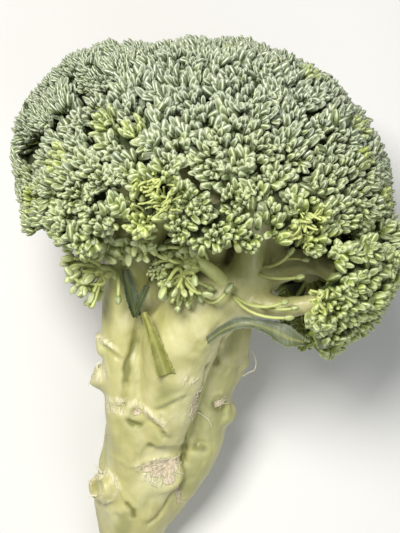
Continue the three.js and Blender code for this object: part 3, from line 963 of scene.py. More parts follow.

# %% [markdown]
# ## The heart of a floret
#
# Between the stems it is dark. A copy of the floret's own solid, drawn in by a few millimetres, fills the
# inside, so that no light falls through the crown, and the buds stand out of it all round. Its dark green
# is painted shade.

# %% Draw a floret's heart
HEART_VOXEL = 1.6
HEART_INSET = 4.4
HEART_STEPS = [
    ("WELD", {"merge_threshold": 1e-5}),
    ("REMESH", {"mode": "VOXEL", "voxel_size": HEART_VOXEL * MM}),
    ("SMOOTH", {"factor": 0.6, "iterations": 5}),
    ("DISPLACE", {"strength": -HEART_INSET * MM, "mid_level": 0.0}),
    ("SMOOTH", {"factor": 0.6, "iterations": 4}),
]


def heart_of(node):
    """The solid of a node, drawn in and smoothed."""
    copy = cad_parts[node].data.copy()
    copy.materials.clear()
    holder = add_object("heart", copy)
    add_modifiers(holder, HEART_STEPS)
    mesh = made_plain(holder)
    # The heart's dark green is painted shade
    mesh.materials.append(heart_shade_look)
    mesh.shade_smooth()
    return mesh


def make_piece(name, meshes, nodes):
    """Joins meshes into one finished object that stands for some nodes of the solid model."""
    parts = [add_object(name, mesh) for mesh in meshes]
    with bpy.context.temp_override(active_object=parts[0], object=parts[0], selected_editable_objects=parts):
        bpy.ops.object.join()
    whole = parts[0]
    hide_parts(*nodes)
    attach(whole, "root")
    return whole


print("heart and piece helpers ready")

# %% [markdown]
# ## All florets
#
# Each floret becomes one object: buds, their stems, the twigs to its tufts and the heart. Florets that don't
# face down also get the lower layer of buds, and those with a curl spot get bare curled stems.

# %% Grow the florets
ROOT_PLAY = 0.8
STEM_BEND = 0.8
STEM_OVERLAP = 0.15
TWIG_LIME = 0.6
UNDER_LIMIT = -0.2
CURL_SWERVE = 3.2
CURL_PLAY = 1.2
CURL_POINTS = 10


def twigs_of(number):
    """Lines from a floret's throat to the root of each of its tufts."""
    mine = np.flatnonzero(tuft_owner == number)
    ends = tuft_root(mine) + tufts[mine] * 1.0
    start = HEAD_CENTRE + AXES[number] * (REACHES[number] - THROAT_DEPTH)
    bends = (start + ends) / 2 + AXES[number] * 0.5 - tufts[mine] * 1.5
    twigs = Lines()
    thick = TWIG_RADIUS * 1.3, TWIG_RADIUS * 0.8
    twigs.add(np.repeat([start], len(mine), 0), bends, ends, *thick, TWIG_LIME, points=7)
    return twigs


def curls_of(roots, tips, ways, thick, rng):
    """Two bare stems that swerve in place of each missing bud."""
    swerve = rng.normal(0, CURL_SWERVE, tips.shape)
    ends = tips - ways * 0.6 + rng.normal(0, CURL_PLAY, swerve.shape)
    bends = (roots + tips) / 2 + swerve
    curls = Lines()
    curls.add(roots, bends, ends, thick * 1.3, thick * 0.7, 0.7, CURL_POINTS)
    others = bends[::-1] * 0.3 + bends * 0.7
    curls.add(roots, others, ends - 1.5 * ways[::-1], thick, thick * 0.6, 0.8, CURL_POINTS)
    return curls


def grow_floret(number, name):
    """The finished object of one floret."""
    rng = np.random.default_rng(500 + number)
    groups = [buds_of(number, name), edge_buds_of(number, name)]
    outer = sum(len(tips) for tips, *_ in groups)
    if AXES[number][2] > UNDER_LIMIT:
        groups.append(buds_of(number, name, 1))
    tips, ways, scale, tuft = (np.concatenate(parts) for parts in zip(*groups))
    tips = keep_in_room(tips, ways, scale * BUD_WIDTH, scale * BUD_LENGTH)
    lime = lime_share(tips, tuft, rng)
    roots = tuft_root(tuft) + rng.normal(0, ROOT_PLAY, tips.shape)
    feet = tips - ways * (scale * (BUD_LENGTH - STEM_OVERLAP))[:, None]
    middle = (roots + feet) / 2 + ways * STEM_BEND
    thick = scale * BUD_STEM_RADIUS
    curled = is_curled(tips, rng)
    first = np.arange(len(tips)) < outer
    top, low = ~curled & first, ~curled & ~first
    stems = Lines()
    stems.add(roots[top], middle[top], feet[top], thick[top] * 0.9, thick[top], lime[top])
    shape = small_bud if FINER.get(name, BUD_SPACING) < SMALL_BELOW else bud
    meshes = [
        bud_mesh(tips[top], ways[top], scale[top], lime[top], number, shape=shape),
        stems.mesh(4, stems_look),
        twigs_of(number).mesh(6, stems_look),
        heart_of("floret_" + name),
    ]
    if low.any():
        buds = tips[low], ways[low], scale[low], lime[low]
        meshes.append(bud_mesh(*buds, number + 60, shape=small_bud, look=shaded_low_buds_look))
    if curled.any():
        curls = curls_of(roots[curled], tips[curled], ways[curled], thick[curled], rng)
        meshes.append(curls.mesh(5, pale_stems_look))
    return make_piece("floret_" + name + "_buds", meshes, ["floret_" + name])


florets = [grow_floret(number, name) for number, name in enumerate(FLORETS)]
faces = [sum(len(p.vertices) - 2 for p in floret.data.polygons) for floret in florets]
print("triangles a floret:", min(faces), "to", max(faces), "in all", sum(faces))

# %% [markdown]
# ## The stalk
#
# The stalk is one body that forks like a tree. Tubes along the same lines as in the solid model are joined by
# a fine voxel remesh, which runs them into each other with soft creases, as growth does.

# %% Lines of the stalk
# Each limb: stops x, y, z and radius, from its lower end up
TRUNK = [(-31.5, -101.5, 10, 11.2), (-29.4, -88, 16.6, 12.8), (-26.7, -72, 23.2, 17.2),
         (-21.5, -46, 33, 17.6), (-14, -22, 46, 16.5), (-2, -2, 57, 15), (4, 16, 61, 10)]
LEFT_LIMB = [(-26, -60, 36, 9.5), (-28.5, -36, 50, 9.3), (-30.8, -12, 60, 7.4), (-30, 12, 67, 7.6)]
MAIN_LIMB = [(-16, -46, 42, 11.5), (-11.5, -25, 54, 13.8), (-7, -9, 62.5, 15.6), (5, 3, 71, 13),
             (15, 9, 76, 9.5), (20, 13, 78, 8)]
MIDDLE_LIMB = [(-20, -32, 51, 8), (-21.5, -8, 57.5, 8), (-17, 14, 61, 7)]
BACK_LIMB = [(-20.5, -80, 19.5, 7.6), (-11.5, -65, 24, 10.5), (-2.5, -50, 30, 11), (0.3, -34, 36, 10.8),
             (6.5, -13, 44, 13), (12, 8, 50, 10)]
SECOND_BRANCH = [(12, 2, 74, 6), (24, 1, 80, 4.6), (35, 0, 84, 3.8), (45, 2, 88, 3.4)]
FORKS = {
    "centre": (4, 16, 61),
    "left": (-30, 8, 65.5),
    "right": (18, 10, 77),
    "back": (6, 8, 48),
    "back_right": (12, 4, 44),
}
BRANCH_ROOT, BRANCH_TIP = 7.5, 4.6
BRANCH_FOOT_DEPTH, BRANCH_TIP_DEPTH = 32.0, 18.0

# What is left of cut leaf stalks: foot, direction, radius at the foot and at the cut, length
STUMPS = [
    ((-36, -67, 35), (-0.75, -0.1, 0.65), 8, 5, 8),
    ((-35, -25, 52), (-0.9, 0.25, 0.3), 6.5, 4.5, 8),
    ((-15, -61, 39), (0.15, -0.3, 0.94), 9, 7.5, 4),
    ((-24, -39, 52), (-0.2, -0.2, 0.95), 6, 4.4, 5),
    ((-33, -12, 58), (-0.8, 0.1, 0.6), 5.5, 3.6, 7),
    ((9, -37, 36), (0.85, 0.1, 0.4), 6.5, 4, 5),
    ((13, -16, 44), (0.8, 0.15, 0.5), 7, 4.6, 6),
]


def smooth_line(stops, per_span=10):
    """Points and radii on the centripetal spline through stops, as the solid model draws it."""
    stops = np.asarray(stops, float)
    places = stops[:, :3]
    padded = np.vstack([2 * places[0] - places[1], places, 2 * places[-1] - places[-2]])
    points, radii = [], []
    for i in range(len(stops) - 1):
        x0, x1, x2, x3 = padded[i:i + 4]
        d0, d1, d2 = (max(np.linalg.norm(b - a) ** 0.5, 1e-4) for a, b in ((x0, x1), (x1, x2), (x2, x3)))
        t1 = ((x1 - x0) / d0 - (x2 - x0) / (d0 + d1) + (x2 - x1) / d1) * d1
        t2 = ((x2 - x1) / d1 - (x3 - x1) / (d1 + d2) + (x3 - x2) / d2) * d1
        share = np.linspace(0, 1, per_span + 1)[:, None]
        if i < len(stops) - 2:
            share = share[:-1]
        square = (3 * (x2 - x1) - 2 * t1 - t2) * share**2
        cube = (2 * (x1 - x2) + t1 + t2) * share**3
        points.append(x1 + t1 * share + square + cube)
        radii.append(stops[i, 3] + (stops[i + 1, 3] - stops[i, 3]) * share[:, 0])
    return np.vstack(points), np.concatenate(radii)


def branch_stops(number, fork):
    """A floret's branch, from its fork to its throat, bent a little outwards."""
    start = np.array(FORKS[fork], float)
    foot = HEAD_CENTRE + AXES[number] * (REACHES[number] - BRANCH_FOOT_DEPTH)
    tip = HEAD_CENTRE + AXES[number] * (REACHES[number] - BRANCH_TIP_DEPTH)
    bend = (start + foot) / 2 + (0, 2, 0)
    middle = (BRANCH_ROOT + BRANCH_TIP) / 2
    return [(*start, BRANCH_ROOT), (*bend, middle), (*foot, BRANCH_TIP), (*tip, BRANCH_TIP)]


def stump_stops(foot, towards, width, cut, length):
    """A stump, from inside the limb that it stands on to its cut."""
    direction = unit(towards)
    return [(*(foot - direction * width), width), (*foot, width), (*(foot + direction * length), cut)]


limbs = [TRUNK, LEFT_LIMB, MAIN_LIMB, MIDDLE_LIMB, BACK_LIMB, SECOND_BRANCH]
limbs += [branch_stops(number, fork) for number, (*_, fork) in enumerate(FLORETS.values())]
limbs += [stump_stops(*each) for each in STUMPS]
print(len(limbs), "limbs")

# %% [markdown]
# ## Joining the limbs
#
# The tubes are swept by the stem tree and joined by a Remesh modifier in voxel mode. A Smooth modifier then
# softens the joints.

# %% Sweep and join the limbs
LIMB_SIDES = 24
STALK_VOXEL = 0.9
STALK_STEPS = [
    ("REMESH", {"mode": "VOXEL", "voxel_size": STALK_VOXEL * MM}),
    ("SMOOTH", {"factor": 0.5, "iterations": 10}),
]


def chain(lines):
    """One mesh of separate lines with their thickness."""
    points, edges, thick = [], [], []
    count = 0
    for place, radius in lines:
        points.append(place)
        thick.append(radius)
        edges += [(count + k, count + k + 1) for k in range(len(place) - 1)]
        count += len(place)
    return mesh_of("limbs", np.vstack(points), edges, thick=np.concatenate(thick) * MM)


swept = chain([smooth_line(stops) for stops in limbs])
stalk_mesh = grow(swept, stem_tree, {"Sides": LIMB_SIDES, "Material": stems_look}, STALK_STEPS)
print("stalk:", len(stalk_mesh.vertices), "points")

# %% [markdown]
# ## Carving the stalk
#
# The skin isn't smooth. Creases run between the limbs, folds of skin stand out above them, and every leaf
# that broke off left a scar. Each crease and fold is a line over the surface that pushes the points near it
# in or out. Other lines only mark the points near them for the finish: `dry` for corky brown, `pale` for
# whitish, `green` for deep green, partly real spots and partly painted shade along the creases, and
# `shaded` for painted shade on skin beside a bulge.

# %% Lines over the stalk
# Each line: push in millimetres, width in millimetres, its stops
CREASES = [
    (-1.5, 1.7, [(-22.6, 1.5, 62), (-23.6, -3.8, 64.5), (-26.0, -15.5, 64.6), (-27.6, -19, 64.8),
                 (-28.2, -25.7, 63.3), (-30.4, -37, 59)]),
    (-2.0, 1.5, [(9.1, -10.4, 71.8), (7.2, -13.7, 62), (5.9, -18.1, 55.7)]),
    (-1.4, 1.4, [(2.3, -19.9, 65), (0.8, -24.9, 61), (0.4, -29.3, 57), (-0.9, -34, 53), (-2.7, -39, 50),
                 (-5.1, -45, 48), (-6, -52, 41), (-7.3, -58, 38.2), (-8.5, -67, 34)]),
    (-1.0, 1.2, [(-10.9, -69, 34.3), (-16.1, -77.7, 34.6), (-20.1, -81.5, 35.7)]),
    (-0.7, 1.0, [(-38.5, -11.3, 62.3), (-34.6, -15.1, 65.7), (-30.3, -18.2, 65.8)]),
    (-0.8, 1.1, [(-12.1, -21.6, 69), (-6.8, -22.4, 69), (-4.0, -25.2, 67)]),
    (-0.7, 0.8, [(10.3, -21.4, 52.6), (11.5, -18, 53.4), (14.3, -15.9, 52.2), (18.1, -14.6, 46.9)]),
    (-0.6, 0.8, [(14, -22, 49.3), (16, -19.5, 48.5), (18.9, -17, 46.3)]),
    (-0.9, 0.9, [(-3.2, -52.7, 40.3), (-1.2, -49.1, 41.7), (2, -49.9, 41)]),
    (-1.1, 1.1, [(-27.5, -41.2, 57.5), (-25.7, -42.7, 56.2), (-23.3, -43.1, 56.5), (-21, -41.5, 56.4)]),
    (-0.8, 1.1, [(-20.2, -40.4, 57.7), (-16.3, -43.5, 57.1), (-13.6, -47.3, 54.7)]),
    (-0.9, 1.0, [(-29.1, -73.5, 40.4), (-27.1, -75.8, 40), (-26.8, -78.6, 38.9)]),
    (-0.6, 1.1, [(-17.0, -37.6, 61), (-10.9, -35.2, 63), (-6.2, -32.2, 63)]),
    (-0.5, 2.6, [(-31.9, -42.7, 55.9), (-29.3, -48.4, 53.3), (-23.6, -54.2, 49.4)]),
    (-0.6, 3.0, [(-11.7, -48.4, 53.2), (-14.5, -52.0, 50)]),
    (-0.6, 3.2, [(-20, -71.9, 40.5), (-24, -77.9, 38.6)]),
    (-0.5, 3.0, [(0, -42.4, 44.2), (-2.0, -46.5, 43)]),
    (-0.6, 3.6, [(-15.2, -27.8, 67.1), (-13.0, -32.0, 65)]),
    (-2.2, 2.8, [(-41.2, -65.6, 41), (-42.4, -69.6, 39.6)]),
]
FOLDS = [
    (1.1, 1.1, [(-39, -8.9, 61.2), (-37.1, -10.4, 64.4), (-34.2, -13.3, 66.4), (-29.6, -16.7, 66)]),
    (1.6, 1.6, [(-39.4, -8.8, 60.6), (-38.9, -12.1, 61.9), (-38.1, -15.1, 61.4)]),
    (0.9, 1.2, [(-15.9, -18.7, 70), (-11.3, -19.6, 70), (-5.7, -20.3, 70), (-3.4, -22.7, 68)]),
    (0.9, 1.9, [(-24.0, -7.5, 60), (-24.4, -17.2, 62.8), (-24.6, -25, 62)]),
    (0.9, 1.7, [(7.0, -9.4, 72), (1, -13.1, 73), (-1.6, -16.3, 71), (-3.3, -19.6, 69)]),
    (0.7, 0.8, [(3.6, -33.8, 47.6), (5.6, -30.7, 49.1), (8.8, -29.9, 48), (12.2, -31.5, 41.2),
                (12.1, -35.5, 40.8), (8.9, -37.6, 41.9), (5.2, -36.9, 45.3), (3.6, -33.8, 47.6)]),
    (0.9, 1.1, [(-16.2, -35.6, 62.1), (-10.7, -33, 64.8), (-5.7, -30, 64), (-1.2, -27.3, 61)]),
    (1.2, 1.2, [(-24.8, -34.3, 59.3), (-19.3, -38.2, 59.5), (-14.7, -42, 58.6), (-12.1, -46.1, 55.1)]),
    (0.8, 0.8, [(-26.4, -58.5, 47.9), (-19.8, -56.1, 47.2), (-12.7, -54.6, 45.2), (-6.4, -53.1, 39.5)]),
    (0.9, 0.9, [(-43.4, -64.1, 39.2), (-37.8, -60.6, 39.1), (-33.9, -63.3, 41.6), (-32.7, -67.2, 41.8),
                (-34.7, -71.1, 40.5), (-38.8, -72.8, 39.1), (-42, -70.8, 39.8)]),
    (0.9, 0.9, [(-36.9, -61.7, 39.7), (-32.3, -67.2, 41.9), (-29.5, -71.5, 41), (-26.3, -75, 40.5)]),
    (0.8, 0.9, [(-27.8, -36.3, 59.6), (-25.0, -35.2, 59.8), (-21.6, -36.6, 59.6), (-21.0, -40.0, 58),
                (-26.4, -41.0, 57.8), (-28.3, -38.6, 58.6), (-27.8, -36.3, 59.6)]),
    (0.8, 1.8, [(-43.1, -74.5, 27.6), (-36.2, -76.8, 36.2), (-30, -75.5, 39.4)]),
    (0.6, 1.0, [(-23.7, -60, 46.2), (-31.6, -56.1, 47.9), (-36.1, -52.3, 42.2)]),
]
# Each mark: radius in millimetres, its stops
DRY = [
    (2.0, [(-21.5, -59.4, 46.3), (-16.7, -58.6, 45.7), (-9.5, -56.6, 41.5)]),
    (1.9, [(-17.5, -61.2, 44.6), (-13.5, -61.6, 43.1), (-10.2, -59.0, 42.6)]),
    (1.7, [(-13.4, -64.6, 41.9), (-11.4, -63.4, 41.6)]),
    (1.9, [(-1.5, -30.2, 60), (-2.3, -33.9, 57), (-3.1, -37.6, 54.5)]),
    (0.6, [(-41.6, -64.6, 41), (-39.2, -64.8, 42)]),
    (1.2, [(16.0, -19.2, 47.8), (18.4, -18.4, 45)]),
    (1.4, [(7.2, -34.0, 46), (9.4, -33.4, 45)]),
    (1.0, [(-9.3, -67.1, 34), (-9, -70.7, 32.2), (-8.6, -73.6, 29.7)]),
    (0.8, [(-25.2, -38.4, 58.4), (-23.2, -38.0, 58.2)]),
    (0.7, [(-38.2, -44.7, 38), (-38.1, -47.9, 38.3)]),
]
PALE = [
    (2.6, [(-36.5, -21.5, 60), (-39.6, -24.6, 56.5), (-41.5, -24.4, 54)]),
    (1.6, [(-35.8, -32.7, 57.3), (-31.7, -33.2, 60.1), (-27.8, -34.7, 59.9)]),
    (1.5, [(-36.4, -36.1, 55.1), (-32.6, -37.3, 58.1), (-29.4, -38.1, 58.7)]),
    (1.2, [(-43.4, -64.1, 39.2), (-37.8, -60.6, 39.1), (-33.9, -63.3, 41.6), (-32.7, -67.2, 41.8),
           (-34.7, -71.1, 40.5), (-38.8, -72.8, 39.1)]),
    (1.4, [(-24.8, -34.3, 59.3), (-19.3, -38.2, 59.5), (-14.7, -42, 58.6)]),
    (2.4, [(-8.3, -23.9, 68), (-4.0, -26.3, 66)]),
    (1.3, [(-39, -8.9, 61.2), (-37.1, -10.4, 64.4), (-34.2, -13.3, 66.4)]),
    (1.0, [(-24.9, -58.6, 47), (-16.7, -56.4, 46.2), (-8.7, -54.4, 41)]),
    (1.6, [(-21.5, -62.6, 45), (-15.5, -65.5, 42)]),
    (2.2, [(-40.8, -63.6, 41.2), (-40.0, -70.6, 40.4)]),
]
# Deep green marks: the small spots are real, the lines along the creases are painted shade
GREEN = [
    (1.4, [(-23.6, -3.8, 64.5), (-26.0, -15.5, 64.6), (-27.6, -19, 64.8), (-28.2, -25.7, 63.3)]),
    (1.4, [(9.1, -10.4, 71.8), (7.2, -13.7, 62), (5.9, -18.1, 55.7)]),
    (1.2, [(2.3, -19.9, 65), (0.8, -24.9, 61), (0.4, -29.3, 57), (-0.9, -34, 53)]),
    (1.0, [(-5.1, -45, 48), (-6, -52, 41), (-7.3, -58, 38.2)]),
    (1.8, [(-1.6, -51.2, 41.4), (1.2, -51.6, 40.6)]),
    (0.55, [(-29.4, -34.7, 60.2), (-29.2, -34.9, 60.2)]),
    (0.5, [(-14.4, -45.4, 56.4), (-14.2, -45.6, 56.4)]),
    (1.1, [(-19.6, -49.9, 51.9), (-19.0, -50.3, 51.8)]),
    (0.9, [(-27.5, -41.2, 57.5), (-25.7, -42.7, 56.2), (-23.3, -43.1, 56.5)]),
    (1.0, [(-29.1, -73.5, 40.4), (-27.1, -75.8, 40), (-26.8, -78.6, 38.9)]),
    (2.4, [(6.0, -34.6, 46), (8.5, -35.0, 44.5)]),
]
# Painted shade on skin beside a bulge
SHADED = [
    (7.5, [(4, -44, 42), (8, -32, 46), (10, -22, 50)]),
    (5.0, [(-2, -56, 36), (-4, -66, 32)]),
    (4.5, [(8, -14, 56), (12, -8, 56)]),
    (4.0, [(-27.5, -24, 60), (-26, -10, 62)]),
    (3.5, [(-30, -80, 36), (-32, -86, 34)]),
    (4.0, [(-12, -30, 66), (-14, -34, 64)]),
]
print(len(CREASES), "creases,", len(FOLDS), "folds,", len(DRY + PALE + GREEN + SHADED), "marks")

# %% Carve the surface
FLUTE_DEPTH = 0.55
DIMPLE_DEPTH = 0.55
WRINKLE_DEPTH = 0.22
GRAIN_DEPTH = 0.10
CRUMB_DEPTH = 0.42
FRAY_DEPTH = 0.3
WANDER = 1.2
FOLD_SHARE = 0.75
CALM_START, CALM_LENGTH, CALM_SHARE = 14, 12, 0.7
SKIN_MARGIN = 0.05
CUT_PLACE = (-31.5, -101.5, 10.0)
CUT_WAY = unit((-2.1, -13.5, -6.6))


def read_rows(mesh, key):
    """Three numbers for each vertex."""
    flat = np.empty(len(mesh.vertices) * 3, np.float32)
    mesh.vertices.foreach_get(key, flat)
    return flat.reshape(-1, 3)


def read_points(mesh):
    """The vertices as points of the drawing, in millimetres."""
    return read_rows(mesh, "co") / MM - PLACE


def write_points(mesh, points):
    """Puts the vertices at points of the drawing."""
    mesh.vertices.foreach_set("co", metres(points).astype(np.float32).ravel())
    mesh.update()


def noise_at(points, scale, stretch=(1, 1, 1), seed=0.0):
    """Smooth noise from -1 to 1 over points, with lumps of the given size in millimetres."""
    placed = points / (scale * np.array(stretch)) + seed
    return np.array([noise.noise(Vector(p)) for p in placed])


def away_from(points, stops):
    """How far each point is from a line through stops."""
    nearest = np.full(len(points), np.inf)
    stops = np.asarray(stops, float)
    for start, end in zip(stops[:-1], stops[1:]):
        span = end - start
        share = np.clip((points - start) @ span / (span @ span), 0, 1)
        nearest = np.minimum(nearest, np.linalg.norm(points - start - share[:, None] * span, axis=1))
    return nearest


def mark_share(points, wander, marks):
    """From 0 to 1, how much each point lies in any of the marks."""
    share = np.zeros(len(points))
    for radius, stops in marks:
        away = (away_from(points, stops) + wander * 0.8) / radius
        share = np.maximum(share, np.exp(-(np.maximum(away, 0) ** 4)))
    return share


def carve(mesh):
    """Pushes the skin in and out, cuts the end off plain, and stores the marks for the finish."""
    points = read_points(mesh)
    normals = read_rows(mesh, "normal")
    wander = WANDER * noise_at(points, 3.5, seed=1.7)
    lines = np.zeros(len(points))
    for push, width, stops in CREASES + FOLDS:
        away = away_from(points, stops) + wander * 0.5
        lines += (FOLD_SHARE if push > 0 else 1.0) * push * np.exp(-((away / width) ** 2))
    dry, pale, green, shaded = (mark_share(points, wander, marks) for marks in (DRY, PALE, GREEN, SHADED))
    flutes = FLUTE_DEPTH * noise_at(points, 6.0, (1, 6, 1), 3.1)
    dimples = DIMPLE_DEPTH * noise_at(points, 8.0, (1, 1.5, 1), 8.7)
    wrinkles = WRINKLE_DEPTH * noise_at(points, 2.6, (1, 2.2, 1), 6.1)
    grain = GRAIN_DEPTH * noise_at(points, 1.5, (1, 3, 1), 5)
    crumbs = CRUMB_DEPTH * dry * (noise_at(points, 1.3, seed=2.0) - 0.5)
    frays = FRAY_DEPTH * pale * noise_at(points, 1.3, (1, 2, 1))
    calm = np.clip((points[:, 1] - CALM_START) / CALM_LENGTH, 0, 1)
    relief = lines + (flutes + dimples) + (wrinkles + grain)
    height = relief * (1 - CALM_SHARE * calm) + (crumbs + frays)
    points = points + normals * height[:, None]
    past = np.maximum((points - CUT_PLACE) @ CUT_WAY, 0)
    points = points - past[:, None] * CUT_WAY
    points = np.clip(points, ROOM_LOW + SKIN_MARGIN, ROOM_HIGH - SKIN_MARGIN)
    write_points(mesh, points)
    values = {"dry": dry, "pale": pale, "green": green, "shaded": shaded, "height": height,
              "cut": (past > 0).astype(float)}
    for name, value in values.items():
        mesh.attributes.new(name, "FLOAT", "POINT").data.foreach_set("value", value.astype(np.float32))


carve(stalk_mesh)
print("carved, size", np.ptp(read_points(stalk_mesh), 0).round(1))

# %% [markdown]
# ## The skin of the stalk
#
# Waxy, pale yellow-green, a little more yellow low down and greener among the branches. Painted highlight
# makes what stands out paler, and painted shade makes hollows darker and greener. Thin darker veins run along
# it. The scars are dry, rough and light brown.

# %% Mix the stalk's finish
SKIN_LOW = colour(174, 168, 110)
SKIN_MIDDLE = colour(184, 179, 122)
SKIN_HIGH = colour(160, 161, 100)
# Painted shade for hollows and painted highlight for what stands out
HOLLOW_SHADE = colour(138, 134, 72)
RAISED_HIGHLIGHT = colour(206, 201, 152)
PALE_SKIN = colour(214, 208, 172)
# Deep green, also painted shade along the creases
GREEN_SKIN_AND_SHADE = colour(96, 98, 40)
SCAR_LIGHT = colour(210, 195, 168)
SCAR_DARK = colour(184, 164, 136)
SKIN_VEIN = colour(150, 150, 78)
SKIN_PATCH = colour(214, 209, 164)
SKIN_CLOUD = colour(146, 150, 80)
# Painted shade
SKIN_SHADED = colour(132, 136, 84)
CUT_FLESH = colour(198, 196, 148)


def stalk_finish():
    """Skin by place along the stalk, painted shade and highlight by relief, then veins, patches, marks, scars
    and cut end.
    """
    finish = Finish("stalk skin")
    place = finish.node("SeparateXYZ", {}, {0: finish.position()}, output="Y")
    low = finish.mix(place.between(-0.11, -0.05), SKIN_LOW, SKIN_MIDDLE)
    skin = finish.mix(place.between(-0.02, 0.025), low, SKIN_HIGH)
    height = finish.attribute("height")
    # Painted shade in hollows and painted highlight on what stands out
    shaded_hollows = finish.mix((0 - height).between(0.1, 1.3) * 0.55, skin, HOLLOW_SHADE)
    highlighted_relief = finish.mix(height.between(0.15, 1.2) * 0.6, shaded_hollows, RAISED_HIGHLIGHT)
    veins = finish.noise(210.0, 3.0, (1, 0.16, 1)).between(0.5, 0.72)
    veined = finish.mix(veins * 0.35, highlighted_relief, SKIN_VEIN)
    patches = finish.noise(70.0, 5.0).between(0.42, 0.72)
    patched = finish.mix(patches * 0.5, veined, SKIN_PATCH)
    cloudy = finish.mix(finish.noise(38.0, 3.0).between(0.48, 0.7) * 0.4, patched, SKIN_CLOUD)
    threads = finish.noise(620.0, 3.0, (1, 0.2, 1)).between(0.4, 0.65)
    streaked = finish.mix(finish.attribute("pale") * (0.35 + threads * 0.6), cloudy, PALE_SKIN)
    # Painted shade beside bulges
    shady = finish.mix(finish.attribute("shaded") * 0.5, streaked, SKIN_SHADED)
    # Deep green, partly painted shade along the creases
    greened_and_shaded = finish.mix(finish.attribute("green") * 0.7, shady, GREEN_SKIN_AND_SHADE)
    crumbs = finish.noise(900.0, 5.0, (1.0, 0.5, 1.0))
    scar = finish.mix(crumbs.between(0.38, 0.6), SCAR_DARK, SCAR_LIGHT)
    ragged = (finish.attribute("dry") + (crumbs - 0.5) * 0.9).between(0.35, 0.6)
    whole = finish.mix(ragged, greened_and_shaded, scar)
    cut = finish.mix(finish.attribute("cut"), whole, CUT_FLESH)
    grain = finish.noise(700.0, 3.0, (1, 0.3, 1)) * 0.3
    relief = grain + threads * finish.attribute("pale") * 0.5 + crumbs * ragged
    return finish.wear(Base_Color=cut, Roughness=0.4 + ragged * 0.4, Normal=finish.bump(relief, 0.0007))


stalk_look = stalk_finish()
stalk_mesh.materials.clear()
stalk_mesh.materials.append(stalk_look)
stalk_mesh.shade_smooth()
print("stalk finish:", stalk_look.name)

# %% [markdown]
# ## Torn fibres
#
# Where leaf stalks broke off, a few white fibres stand out: a loose loop at the right and short stubs at the
# left. Many short threads lie on the scars and on the whitish skin.

# %% Add the fibres
# Each fibre: stops x, y, z and radius
FIBRES = [
    [(17.4, -22.8, 44, 0.3), (19.6, -21.6, 47, 0.25), (21.8, -20.6, 48, 0.22), (22.4, -17.4, 48.6, 0.2),
     (21.6, -14.6, 48, 0.18), (20.6, -13.0, 47.6, 0.14)],
    [(-1.0, -37.4, 50, 0.25), (1.2, -38.6, 46.6, 0.25), (3.4, -40.4, 45.2, 0.2), (4.8, -43.2, 43, 0.15)],
    [(-40.0, -21.5, 57, 0.5), (-40.2, -19.3, 58.5, 0.35), (-38.8, -18.1, 58.6, 0.2)],
    [(-41.5, -70.4, 38.6, 0.5), (-43.6, -70.2, 39.6, 0.3), (-45.2, -71, 39.6, 0.2)],
    [(-39.4, -61.2, 41, 0.5), (-41.0, -59.0, 42.5, 0.35), (-42.4, -57.6, 43, 0.2)],
    [(-43.5, -66.0, 38.6, 0.4), (-44.8, -64.4, 39.5, 0.25)],
]
THREADS = 230
THREAD_LENGTH = (1.5, 4.2)
THREAD_RADIUS = (0.07, 0.17)
THREAD_LIFT = (0.3, 0.9)
THREAD_PLAY = 0.5
PALE_WEIGHT = 0.35


def scar_threads(mesh, seed=21):
    """Short loose threads that lie on the scars and on the whitish skin round them."""
    rng = np.random.default_rng(seed)
    points, normals = read_points(mesh), read_rows(mesh, "normal")
    share = np.zeros(len(points))
    for name, weight in (("dry", 1.0), ("pale", PALE_WEIGHT)):
        flat = np.empty(len(points), np.float32)
        mesh.attributes[name].data.foreach_get("value", flat)
        share += weight * flat * (flat > 0.5)
    chosen = rng.choice(len(points), THREADS, p=share / share.sum())
    place, up = points[chosen], normals[chosen]
    along = unit(np.cross(up, rng.normal(0, 1, up.shape)) + (0.5, 0.2, 0))
    along = unit(along - up * np.sum(along * up, 1)[:, None])
    length = rng.uniform(*THREAD_LENGTH, THREADS)[:, None]
    lift = up * rng.uniform(*THREAD_LIFT, (THREADS, 1))
    bend = place + along * length * 0.5 + lift + rng.normal(0, THREAD_PLAY, place.shape)
    lines = Lines()
    thick = rng.uniform(*THREAD_RADIUS, THREADS)
    lines.add(place - up * 0.1, bend, place + along * length + up * 0.1, thick, thick * 0.6, 0.5, 7)
    return lines.mesh(4, fibre_look)


fibre_look = Finish("torn fibres").wear(Base_Color=colour(214, 208, 178), Roughness=0.6)
fibre_lines = chain([smooth_line(stops, 5) for stops in FIBRES])
fibres = grow(fibre_lines, stem_tree, {"Sides": 6, "Material": fibre_look})
threads = scar_threads(stalk_mesh)
stalk_piece = make_piece("stalk_skin", [stalk_mesh, fibres, threads], ["stalk"])
print("stalk piece:", len(stalk_piece.data.polygons), "faces")

# %% [markdown]
# ## Side shoots
#
# Two small shoots grew beside the crown. Each bunch of their buds is an umbel: stems of different lengths fan
# out from one point and bend a little, each with a bud at its end. A few single buds on long stems stand out
# of the crown's front and right, and they are part of the front shoot's object.

